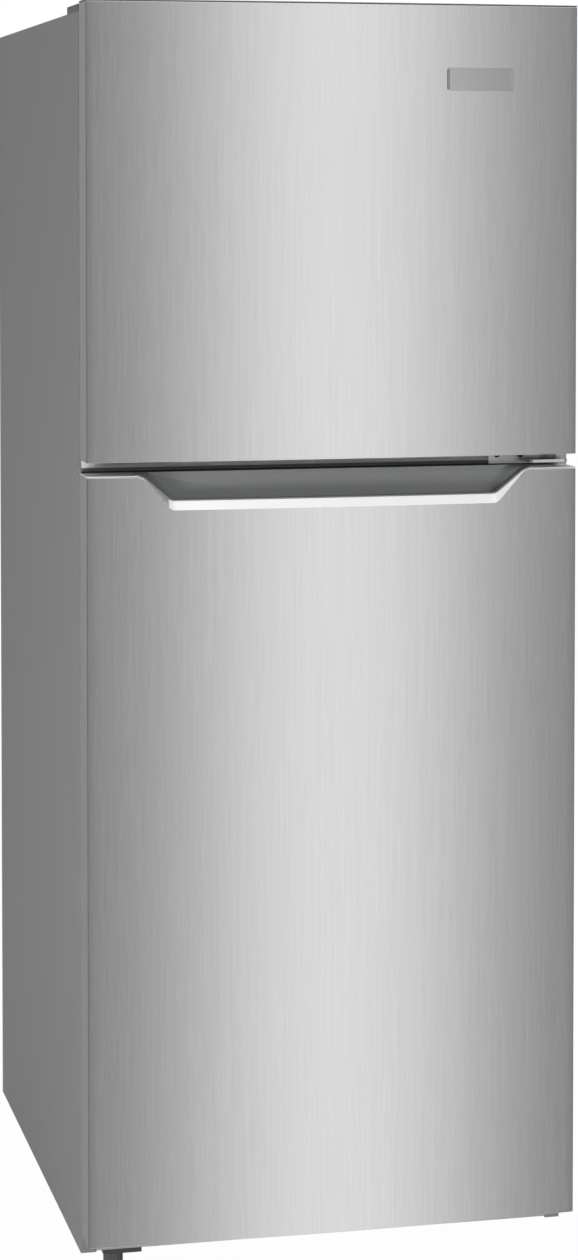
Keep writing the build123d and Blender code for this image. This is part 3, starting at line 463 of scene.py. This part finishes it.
def stepped_disc(name, radius, vertices, steps):
    """A round piece that stands on the origin, pulled up in rings: each step is a width factor and a rise."""
    settings = {"vertices": vertices, "radius": radius, "fill_type": "NGON"}
    piece = begin(name, bpy.ops.mesh.primitive_circle_add, **settings)
    bpy.ops.mesh.select_all(action="SELECT")
    for narrow, rise in steps:
        bpy.ops.mesh.extrude_region_move(TRANSFORM_OT_translate={"value": (0, 0, rise)})
        bpy.ops.transform.resize(value=(narrow, narrow, 1), center_override=(0, 0, 0))
    close_up()
    return piece


UPRIGHT = (0, 0, 0)
FORWARD = (math.pi / 2, 0, 0)  # what faced up now faces the front


def stand(piece, place, turn):
    """Turns a piece that was modelled about the origin, moves it to its place, and applies both."""
    piece.rotation_euler = turn
    piece.location = place
    choose(piece)
    bpy.ops.object.transform_apply(location=True, rotation=True, scale=True)


def copied(original, name, place, turn):
    """A copy with its own mesh, turned and put in its place."""
    piece = original.copy()
    piece.data = original.data.copy()
    piece.name = name
    bpy.context.scene.collection.objects.link(piece)
    stand(piece, place, turn)
    return piece


def finish_piece(piece, slot, body, *replaced, smooth=35):
    """Leaves edit mode, smooths the piece, and gives it its finish, its body and the parts that it replaces."""
    if bpy.context.object.mode == "EDIT":
        bpy.ops.object.mode_set(mode="OBJECT")
    choose(piece)
    bpy.ops.object.shade_smooth_by_angle(angle=math.radians(smooth))
    piece.data.materials.clear()
    piece.data.materials.append(finishes[slot])
    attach(piece, body)
    if replaced:
        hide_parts(*replaced)
    print("made", piece.name, len(piece.data.polygons), "faces")


print("modelling tools ready")

# %% [markdown]
# ## Door skins
# A door's skin is one bowed sheet, turned back along both sides and rolled over at its top and bottom. The bow is a
# gentle arc about a far-off upright axis, so one upright edge is spun about that axis to make the front. Its two sides
# are pulled straight back and folded in behind the inner panel, where they hide the foam. The rims are rolled in small
# steps, and the grip pocket is then cut out of the lower sheet.

# %% Door shape
BOW = 0.009
SHEET = 0.0008
TOP_ROLL = 0.0016
BOTTOM_ROLL = 0.0005
FLANGE = 0.0036
SEAL_ROOM = 0.0005
CORNER_BEVEL = 0.0011
FRONT_STEPS = 56
skin_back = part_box("fridge_gasket")[0].y - SEAL_ROOM
half_width = high.x
bow_radius = (half_width**2 + BOW**2) / (2 * BOW)
bow_centre = low.y + bow_radius
edge_angle = math.asin(half_width / bow_radius)
print("bow radius", round(bow_radius, 3))


def bow_depth(x):
    """How far back from the door's foremost line its front is, at x."""
    return bow_radius - math.sqrt(bow_radius**2 - x * x)


def roll_rim(level, way, roll, back):
    """Rolls the sheet's selected rim inwards, in three steps of a quarter circle."""
    reach = back - low.y
    for step in range(1, 4):
        angle = math.radians(30 * step)
        before = math.radians(30 * (step - 1))
        rise = roll * (math.sin(angle) - math.sin(before))
        inset = roll * (math.cos(before) - math.cos(angle))
        bpy.ops.mesh.extrude_edges_move(TRANSFORM_OT_translate={"value": (0, 0, way * rise)})
        factors = (1 - inset / half_width, 1 - inset / reach, 1)
        bpy.ops.transform.resize(value=factors, center_override=(0, back, level))


def door_skin(name, node, body):
    """The bowed sheet of one door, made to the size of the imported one."""
    bottom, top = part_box(node)
    z0, z1 = bottom.z + BOTTOM_ROLL, top.z - TOP_ROLL
    piece = begin(name, bpy.ops.mesh.primitive_plane_add, size=1)
    pick("verts", lambda spot: spot.x > 0)
    bpy.ops.mesh.delete(type="VERT")
    pick("verts", lambda spot: True)
    shape = bmesh.from_edit_mesh(piece.data)
    for corner, z in zip(sorted(shape.verts, key=lambda v: v.co.y), (z0, z1)):
        corner.co = (-half_width, low.y + BOW, z)
    bmesh.update_edit_mesh(piece.data)
    pick("edges", lambda spot: True)
    centre = (0, bow_centre, 0)
    bpy.ops.mesh.spin(steps=FRONT_STEPS, angle=-2 * edge_angle, center=centre, axis=(0, 0, 1))
    for side in (-1, 1):
        pick("edges", lambda spot: spot.x * side > half_width - NEAR)
        bpy.ops.mesh.extrude_edges_move(TRANSFORM_OT_translate={"value": (0, skin_back - low.y - BOW, 0)})
        pick("edges", lambda spot: spot.x * side > half_width - NEAR and spot.y > skin_back - NEAR)
        bpy.ops.mesh.extrude_edges_move(TRANSFORM_OT_translate={"value": (-side * FLANGE, 0, 0)})
    for side in (-1, 1):
        pick("edges", lambda spot: spot.x * side > half_width - NEAR and spot.y < low.y + BOW + NEAR)
        bpy.ops.mesh.bevel(offset=CORNER_BEVEL, segments=3)
    for level, way, roll in ((z0, -1, BOTTOM_ROLL), (z1, 1, TOP_ROLL)):
        pick("edges", lambda spot: abs(spot.z - level) < NEAR)
        roll_rim(level, way, roll, skin_back)
    close_up()
    return piece


freezer_skin = door_skin("freezer_front", "freezer_door_skin", "freezer_door")
fridge_skin = door_skin("fridge_front", "fridge_door_skin", "fridge_door")
print("skins:", len(freezer_skin.data.polygons), len(fridge_skin.data.polygons))

# %% [markdown]
# ## The grip in the lower door
# The grip is a dark cup let into the door's top edge, with a bright sloping rim in front of it. Its outline is an open
# trapezium with rounded corners, wider at the top, where it flows into the door's top edge. The outline is made once,
# as an eight-cornered face with its inner corners rounded by a bevel. Extruded straight back it becomes the cutter
# for the skin. Extruded in short steps, and squeezed towards the door's top edge at each one, it becomes the rim and
# the cup.

# %% Grip outline
grip_low, grip_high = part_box("handle_trim")
GRIP_FLOOR_HALF = 0.201
GRIP_CORNER = 0.005
GRIP_SHOULDER = 0.009
OUTSIDE = 0.03
grip_top = grip_high.z
print("grip:", [round(v, 4) for v in grip_low], [round(v, 4) for v in grip_high])


def grip_outline(name):
    """The grip's outline as one upright face in front of the door, carried up and out past the door's top edge."""
    piece = begin(name, bpy.ops.mesh.primitive_circle_add, vertices=8, radius=1, fill_type="NGON")
    half, floor = grip_high.x, grip_low.z
    corners = (
        (-half - OUTSIDE, grip_top + OUTSIDE), (-half - OUTSIDE, grip_top), (-half, grip_top),
        (-GRIP_FLOOR_HALF, floor), (GRIP_FLOOR_HALF, floor), (half, grip_top),
        (half + OUTSIDE, grip_top), (half + OUTSIDE, grip_top + OUTSIDE),
    )
    shape = bmesh.from_edit_mesh(piece.data)
    for corner, (x, z) in zip(shape.verts, corners):
        corner.co = (x, low.y, z)
    bmesh.update_edit_mesh(piece.data)
    for level, radius in ((floor, GRIP_CORNER), (grip_top, GRIP_SHOULDER)):
        pick("verts", lambda spot: abs(spot.z - level) < NEAR and abs(spot.x) < half + NEAR)
        bpy.ops.mesh.bevel(offset=radius, segments=8, affect="VERTICES")
    return piece


def follow_bow(piece):
    """Pushes every corner back by the depth of the bow at its place."""
    for corner in piece.data.vertices:
        corner.co.y += bow_depth(corner.co.x)


# %% Thicken both skins, cut the grip and the room for the top hinge
CUTTER_DEPTH, CUTTER_START = 0.03, -0.01
NOTCH_LEFT, NOTCH_RIGHT = 0.290, 0.310
NOTCH_FRONT, NOTCH_BACK = -0.366, -0.32
NOTCH_BELOW_HINGE = 0.0065

cutter = grip_outline("grip_cutter")
bpy.ops.mesh.select_all(action="SELECT")
bpy.ops.mesh.extrude_region_move(TRANSFORM_OT_translate={"value": (0, CUTTER_DEPTH, 0)})
bpy.ops.mesh.select_all(action="SELECT")
bpy.ops.transform.translate(value=(0, CUTTER_START, 0))
close_up()
for skin in (freezer_skin, fridge_skin):
    apply_modifier(skin, "SOLIDIFY", thickness=SHEET, offset=-1)
apply_modifier(fridge_skin, "BOOLEAN", operation="DIFFERENCE", object=cutter, solver="EXACT")

notch_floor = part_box("top_hinge")[1].z - NOTCH_BELOW_HINGE
notch_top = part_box("freezer_door_skin")[1].z + 0.01
notch = block("hinge_notch", (NOTCH_LEFT, NOTCH_FRONT, notch_floor), (NOTCH_RIGHT, NOTCH_BACK, notch_top))
bpy.ops.object.mode_set(mode="OBJECT")
apply_modifier(freezer_skin, "BOOLEAN", operation="DIFFERENCE", object=notch, solver="EXACT")
finish_piece(freezer_skin, "door_steel", "freezer_door", "freezer_door_skin", smooth=40)
finish_piece(fridge_skin, "door_steel", "fridge_door", "fridge_door_skin", smooth=40)
for skin in (freezer_skin, fridge_skin):
    apply_modifier(skin, "WEIGHTED_NORMAL", keep_sharp=True)
bpy.data.objects.remove(cutter)
bpy.data.objects.remove(notch)

# %% [markdown]
# ## Rim and cup
# Only the U of the outline is kept, so its face and its outer corners are deleted. The line is extruded, and each
# extruded line is moved by a rule: to the rim's inner edge, or one step further back into the cup. The two upper ends
# stay at the door's top edge, where the slope of the rim runs out to nothing.

# %% Rim and cup
RIM_DEPTH = 0.007
RIM_RISE = 0.0105
RIM_SHEET, CUP_WALL = 0.0008, 0.0018
RIM_FLOOR = grip_top - grip_low.z - RIM_RISE  # from the door's top edge down to the rim's inner edge
CUP_STEPS = (  # depth behind the door's front, height of the floor under the top, width factor
    (0.0078, 0.0306, 0.9995),
    (0.0145, 0.0306, 0.9990),
    (0.0152, 0.0312, 0.9985),
    (0.0156, 0.0470, 0.9970),
    (0.0270, 0.0470, 0.9700),
    (0.0320, 0.0462, 0.9560),
    (0.0355, 0.0440, 0.9400),
    (0.0375, 0.0415, 0.9270),
    (0.0385, 0.0385, 0.9180),
)
CUP_FLAT = 0.02  # the cup is bowed like the door in front of this depth, and flat behind it


def grip_edge(name):
    """The U-shaped line of the grip, open along the door's top edge, and divided along its floor."""
    piece = grip_outline(name)
    limit = grip_high.x + GRIP_SHOULDER
    pick("faces", lambda spot: True)
    bpy.ops.mesh.delete(type="ONLY_FACE")
    pick("verts", lambda spot: abs(spot.x) > limit or spot.z > grip_top + NEAR)
    bpy.ops.mesh.delete(type="VERT")
    pick("edges", lambda spot: abs(spot.x) < GRIP_FLOOR_HALF - 0.01)
    bpy.ops.mesh.subdivide(number_cuts=31)
    bpy.ops.mesh.select_all(action="SELECT")
    return piece


def inner_edge(spot):
    """The rim's inner edge: back and up from the outline, both running out at the door's top edge."""
    below = (grip_top - spot.z) / (RIM_FLOOR + RIM_RISE)
    return spot.x, spot.y + RIM_DEPTH * below, grip_top - RIM_FLOOR * below


rim = grip_edge("grip_rim")
bpy.ops.mesh.extrude_edges_move()
move_line(inner_edge)
bpy.ops.mesh.select_all(action="SELECT")
bpy.ops.mesh.remove_doubles(threshold=NEAR)
close_up()
follow_bow(rim)
apply_modifier(rim, "SOLIDIFY", thickness=RIM_SHEET, offset=-1)
finish_piece(rim, "silver_trim", "fridge_door", "handle_trim", smooth=50)

cup = grip_edge("grip_cup")
move_line(inner_edge)
floor_below, span = RIM_FLOOR, 1.0
for depth, next_floor, next_span in CUP_STEPS:
    bpy.ops.mesh.extrude_edges_move()
    taller, wider = next_floor / floor_below, next_span / span
    move_line(lambda spot: (spot.x * wider, grip_low.y + depth, grip_top - (grip_top - spot.z) * taller))
    floor_below, span = next_floor, next_span
bpy.ops.mesh.edge_face_add()
bpy.ops.object.mode_set(mode="OBJECT")
for corner in cup.data.vertices:
    if corner.co.y < grip_low.y + CUP_FLAT:
        corner.co.y += bow_depth(corner.co.x)
apply_modifier(cup, "SOLIDIFY", thickness=CUP_WALL, offset=-1)
finish_piece(cup, "cup_grey", "fridge_door", "handle_cup", smooth=40)

# %% [markdown]
# ## Badge
# The badge is a small blank metal plate that follows the bow. It starts as a box, its upright corners are rounded, and
# its face gets a narrow border by an inset that is pushed back a little. Cuts across it let it bend with the door.

# %% Badge
BADGE_PROUD, BADGE_LET_IN = 0.0016, 0.0004
BADGE_CORNER = 0.0025
BORDER_WIDTH, BORDER_SLOPE, BORDER_DEPTH = 0.0016, 0.0004, 0.0003
BADGE_CUTS = 16
BADGE_EDGE = 0.0003
badge_low, badge_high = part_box("badge")
front, rear = low.y - BADGE_PROUD, low.y + BADGE_LET_IN
plate = block("badge_plate", (badge_low.x, front, badge_low.z), (badge_high.x, rear, badge_high.z))
pick("edges", lambda spot: min(abs(spot.x - badge_low.x), abs(spot.x - badge_high.x)) < NEAR
     and abs(spot.y - (front + rear) / 2) < NEAR)
bpy.ops.mesh.bevel(offset=BADGE_CORNER, segments=4)
pick("faces", lambda spot: spot.y < front + NEAR)
bpy.ops.mesh.inset(thickness=BORDER_WIDTH, depth=0.0)
bpy.ops.mesh.inset(thickness=BORDER_SLOPE, depth=-BORDER_DEPTH)
for step in range(1, BADGE_CUTS):
    bpy.ops.mesh.select_all(action="SELECT")
    across = badge_low.x + step / BADGE_CUTS * (badge_high.x - badge_low.x)
    bpy.ops.mesh.bisect(plane_co=(across, 0, 0), plane_no=(1, 0, 0))
bpy.ops.object.mode_set(mode="OBJECT")
follow_bow(plate)
sharp_corners = {"limit_method": "ANGLE", "angle_limit": math.radians(60)}
apply_modifier(plate, "BEVEL", width=BADGE_EDGE, segments=2, **sharp_corners)
finish_piece(plate, "badge_metal", "freezer_door", "badge", smooth=50)
apply_modifier(plate, "WEIGHTED_NORMAL", keep_sharp=True)

# %% [markdown]
# ## Hinge screws
# Each screw has a low domed head with a cross recess. One head is made from a disc that is pulled up in rings, the
# cross is cut out of it with two bars, and each copy is turned to face away from the plate that it holds.

# %% Hinge screws
SCREW_RADIUS, SCREW_HEIGHT = 0.004, 0.002
SCREW_STEPS = ((1.0, 0.55), (0.93, 0.18), (0.88, 0.12), (0.80, 0.08), (0.55, 0.06))  # width factor, share of height
RECESS_LONG, RECESS_SHORT = 0.0022, 0.00045
MID_HINGE, BOTTOM_HINGE, TOP_HINGE = (-0.318, 0.9885), (-0.318, 0.042), (-0.275, 1.529)  # Y and Z of the heads' feet
SCREWS = (
    (0.2175, MID_HINGE, FORWARD), (0.2475, MID_HINGE, FORWARD),
    (0.238, BOTTOM_HINGE, FORWARD), (0.268, BOTTOM_HINGE, FORWARD),
    (0.245, TOP_HINGE, UPRIGHT), (0.275, TOP_HINGE, UPRIGHT),
)

steps = [(narrow, SCREW_HEIGHT * share) for narrow, share in SCREW_STEPS]
head = stepped_disc("screw_head", SCREW_RADIUS, 32, steps)
for half_x, half_y in ((RECESS_LONG, RECESS_SHORT), (RECESS_SHORT, RECESS_LONG)):
    bar_start, bar_end = (-half_x, -half_y, SCREW_HEIGHT * 0.4), (half_x, half_y, SCREW_HEIGHT * 2)
    recess = block("recess", bar_start, bar_end)
    bpy.ops.object.mode_set(mode="OBJECT")
    apply_modifier(head, "BOOLEAN", operation="DIFFERENCE", object=recess, solver="EXACT")
    bpy.data.objects.remove(recess)
for number, (x, (y, z), turn) in enumerate(SCREWS, 1):
    replaced = ("hinge_screws",) if number == 1 else ()
    finish_piece(copied(head, f"screw_{number}", (x, y, z), turn), "screw_steel", "cabinet", *replaced)
bpy.data.objects.remove(head)

# %% [markdown]
# ## Temperature knob
# The knob is a skirted dial with a raised grip bar and a pointer. Its round body is turned from a stepped disc and the
# bar is a rounded block that sinks into it.

# %% Temperature knob
knob_low, knob_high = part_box("temperature_knob")
knob_x, knob_z = (knob_low.x + knob_high.x) / 2, (knob_low.z + knob_high.z) / 2
KNOB_RADIUS = (knob_high.x - knob_low.x) / 2
KNOB_DEPTH = 0.0157
SKIRT = 0.0055
DIAL_STEPS = ((1.0, SKIRT), (0.965, 0.0008), (0.80, 0.0006), (0.76, 0.0008))
BAR_HALF = 0.0038
POINTER_HALF, POINTER_SUNK, POINTER_BACK = 0.0005, 0.0001, 0.004
skirt_back = knob_low.y + KNOB_DEPTH
reach = KNOB_RADIUS * 0.93

dial = stepped_disc("knob_dial", KNOB_RADIUS, 64, DIAL_STEPS)
stand(dial, (knob_x, skirt_back, knob_z), FORWARD)
finish_piece(dial, "white_plastic", "knob", "temperature_knob")

bar_start = knob_x - BAR_HALF, knob_low.y, knob_z - reach
bar_end = knob_x + BAR_HALF, skirt_back - SKIRT, knob_z + reach
bar = block("knob_bar", bar_start, bar_end)
pick("faces", lambda spot: spot.y < knob_low.y + NEAR)
bpy.ops.transform.resize(value=(0.62, 1, 0.92), center_override=(knob_x, knob_low.y, knob_z))
bpy.ops.object.mode_set(mode="OBJECT")
apply_modifier(bar, "BEVEL", width=0.0016, segments=4)
finish_piece(bar, "white_plastic", "knob", smooth=50)

pointer_start = knob_x - POINTER_HALF, knob_low.y + POINTER_SUNK, knob_z + reach * 0.25
pointer_end = knob_x + POINTER_HALF, knob_low.y + POINTER_BACK, knob_z + reach * 0.80
pointer = block("knob_pointer", pointer_start, pointer_end)
bpy.ops.object.mode_set(mode="OBJECT")
apply_modifier(pointer, "BEVEL", width=0.0002, segments=2)
finish_piece(pointer, "dark_plastic", "knob")

# %% [markdown]
# ## Fan
# The freezer's fan pushes air through the grille. Its blades are twisted: steep near the hub and flatter at the tip, so
# that every part of a blade moves the air at the same speed. One blade is a grid whose rows are turned less and less
# from the hub out. It is thickened and copied around the shaft.

# %% Fan
FAN_PLACE = (0, 0.258, 1.345)
FAN_BLADES, FAN_HUB = 5, 0.014
FAN_TIP = min(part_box("evaporator_fan")[1].x, 0.0565)
BLADE_ROOT = FAN_HUB * 0.9  # the blades start inside the hub
ROOT_PITCH, UNTWIST = 50, 24  # degrees at the hub, and how many fewer at the tip
ROOT_CHORD, CHORD_GROWTH = 0.019, 0.012
BLADE_CUP, TIP_ROUND = 0.0012, 0.003
BLADE_THICKNESS = 0.0012
HUB_BACK = 0.010
HUB_STEPS = ((1.0, 0.0165), (0.95, 0.0012), (0.85, 0.0010), (0.5, 0.0008))


def on_blade(spot):
    """Where a point of the flat grid lies on the blade that points along X from a shaft along Y."""
    out = spot.x + 0.5
    edge = (2 * spot.y) ** 2
    pitch = math.radians(ROOT_PITCH - UNTWIST * out)
    chord = spot.y * (ROOT_CHORD + CHORD_GROWTH * out)
    radius = BLADE_ROOT + (FAN_TIP - BLADE_ROOT) * out - TIP_ROUND * edge * out
    angle = chord * math.cos(pitch) / max(radius, 0.02)
    thick = chord * math.sin(pitch) + BLADE_CUP * (1 - edge)
    return radius * math.cos(angle), thick, radius * math.sin(angle)


blade = begin("fan_blade", bpy.ops.mesh.primitive_grid_add, x_subdivisions=10, y_subdivisions=6, size=1)
bpy.ops.mesh.select_all(action="SELECT")
move_line(on_blade)
bpy.ops.object.mode_set(mode="OBJECT")
apply_modifier(blade, "SOLIDIFY", thickness=BLADE_THICKNESS, offset=0)
for number in range(FAN_BLADES):
    turn = (0, -number * 2 * math.pi / FAN_BLADES, 0)
    piece = copied(blade, f"fan_blade_{number + 1}", FAN_PLACE, turn)
    finish_piece(piece, "white_plastic", "fan", smooth=50)
bpy.data.objects.remove(blade)

hub = stepped_disc("fan_hub", FAN_HUB, 48, HUB_STEPS)
stand(hub, (FAN_PLACE[0], FAN_PLACE[1] + HUB_BACK, FAN_PLACE[2]), FORWARD)
finish_piece(hub, "white_plastic", "fan", "evaporator_fan")

# %% [markdown]
# ## Studio
# Steel goods are lit with a tall narrow panel, whose soft reflection is the bright band down the doors. Everything
# beside it is kept darker, so that the bow shows. Here the surroundings do that for gloss, plain white serves for the
# backdrop, and soft lamps light the paint and plastic. The floor is pale and plain.

# %% Studio
PANEL_TURN = math.radians(13.9)
PANEL_WIDTH = 0.185
PANEL_LIGHT, SHADE_LIGHT, BACK_LIGHT = 1.66, 0.165, 0.33
OVERHEAD_LIGHT, FLOOR_LIGHT = 0.93, 0.7
SOFT_LIGHT, BACKDROP_LIGHT = 0.32, 1.0

world = bpy.data.worlds.new("studio")
bpy.context.scene.world = world
world.use_nodes = True
studio = Network(world.node_tree)
studio.tree.nodes.clear()


def ramp(value, start, end, low_light, high_light):
    """Light that goes smoothly from one strength to another while a value goes from start to end."""
    inputs = {"Value": value, "From Min": start, "From Max": end, "To Min": low_light, "To Max": high_light}
    settings = {"interpolation_type": "SMOOTHERSTEP"}
    return Signal(studio, studio.add("ShaderNodeMapRange", settings, inputs).outputs[0])


def brighter(first, second):
    """The stronger of two lights."""
    return first.maths("MAXIMUM", first, second)


def choice(network, question, if_not, if_so):
    """A mix of two shaders, by what kind of ray asks or by a fixed share."""
    return network.add("ShaderNodeMixShader", None, {0: question, 1: if_not, 2: if_so}).outputs[0]


sky = studio.add("ShaderNodeTexCoord").outputs["Generated"]
across, along, up = (Signal(studio, way) for way in studio.add("ShaderNodeSeparateXYZ", None, {0: sky}).outputs)
turn = across.maths("ARCTAN2", across, along * -1.0)
off_panel = turn.maths("ABSOLUTE", turn - PANEL_TURN)
panel = ramp(off_panel, 0.0, PANEL_WIDTH, PANEL_LIGHT - SHADE_LIGHT, 0.0)
around = panel + ramp(off_panel, 0.6, 2.6, SHADE_LIGHT, BACK_LIGHT)
overhead = ramp(up, 0.2, 0.6, 0.0, OVERHEAD_LIGHT)
below = ramp(up, -0.8, -0.4, FLOOR_LIGHT, 0.0)
glossy, soft, backdrop = (
    studio.add("ShaderNodeBackground", None, {"Color": (1, 1, 1, 1), "Strength": strength}).outputs[0]
    for strength in (brighter(around, brighter(overhead, below)), SOFT_LIGHT, BACKDROP_LIGHT)
)
rays = studio.add("ShaderNodeLightPath").outputs
inside = choice(studio, rays["Is Glossy Ray"], soft, glossy)
surroundings = choice(studio, rays["Is Camera Ray"], inside, backdrop)
studio.add("ShaderNodeOutputWorld", None, {"Surface": surroundings})


def soft_lamp(name, place, aim, size, power):
    """A large square lamp that shines on paint and plastic but doesn't show in the steel."""
    data = bpy.data.lights.new(name, "AREA")
    data.size, data.energy = size, power
    lamp = bpy.data.objects.new(name, data)
    lamp.location = place
    lamp.rotation_euler = (Vector(aim) - Vector(place)).to_track_quat("-Z", "Y").to_euler()
    lamp.visible_glossy = False
    bpy.context.scene.collection.objects.link(lamp)


soft_lamp("left_lamp", (-1.6, -1.9, 0.15), (-0.3, -0.1, 0.3), 0.8, 34)
soft_lamp("front_lamp", (0.6, -4.5, 2.2), (0, -0.38, 0.9), 1.6, 60)
soft_lamp("top_lamp", (0.3, 0.3, 4.0), (0, 0, 1.5), 2.5, 40)
soft_lamp("back_lamp", (2.6, 3.0, 2.4), (0, 0.3, 0.8), 2.5, 60)

FLOOR_WHITE = 0.98  # how much of the floor that the camera sees is pure white
begin("studio_floor", bpy.ops.mesh.primitive_plane_add, size=40)
bpy.ops.object.mode_set(mode="OBJECT")
floor = bpy.context.object
floor_finish = Finish("pale_floor")
floor_finish.set(Base_Color=(0.8, 0.8, 0.8, 1), Roughness=0.9, Specular_IOR_Level=0.0)
painted = floor_finish.shader.outputs[0]
clear = floor_finish.add("ShaderNodeBsdfTransparent").outputs[0]
white = floor_finish.add("ShaderNodeEmission", None, {"Strength": 1.0}).outputs[0]
floor_rays = floor_finish.add("ShaderNodeLightPath").outputs
unseen = choice(floor_finish, floor_rays["Is Glossy Ray"], painted, clear)
lit = choice(floor_finish, FLOOR_WHITE, painted, white)
shown = choice(floor_finish, floor_rays["Is Camera Ray"], unseen, lit)
floor_finish.feed(floor_finish.tree.nodes["Material Output"].inputs["Surface"], shown)
floor.data.materials.append(floor_finish.material)
print("studio ready")
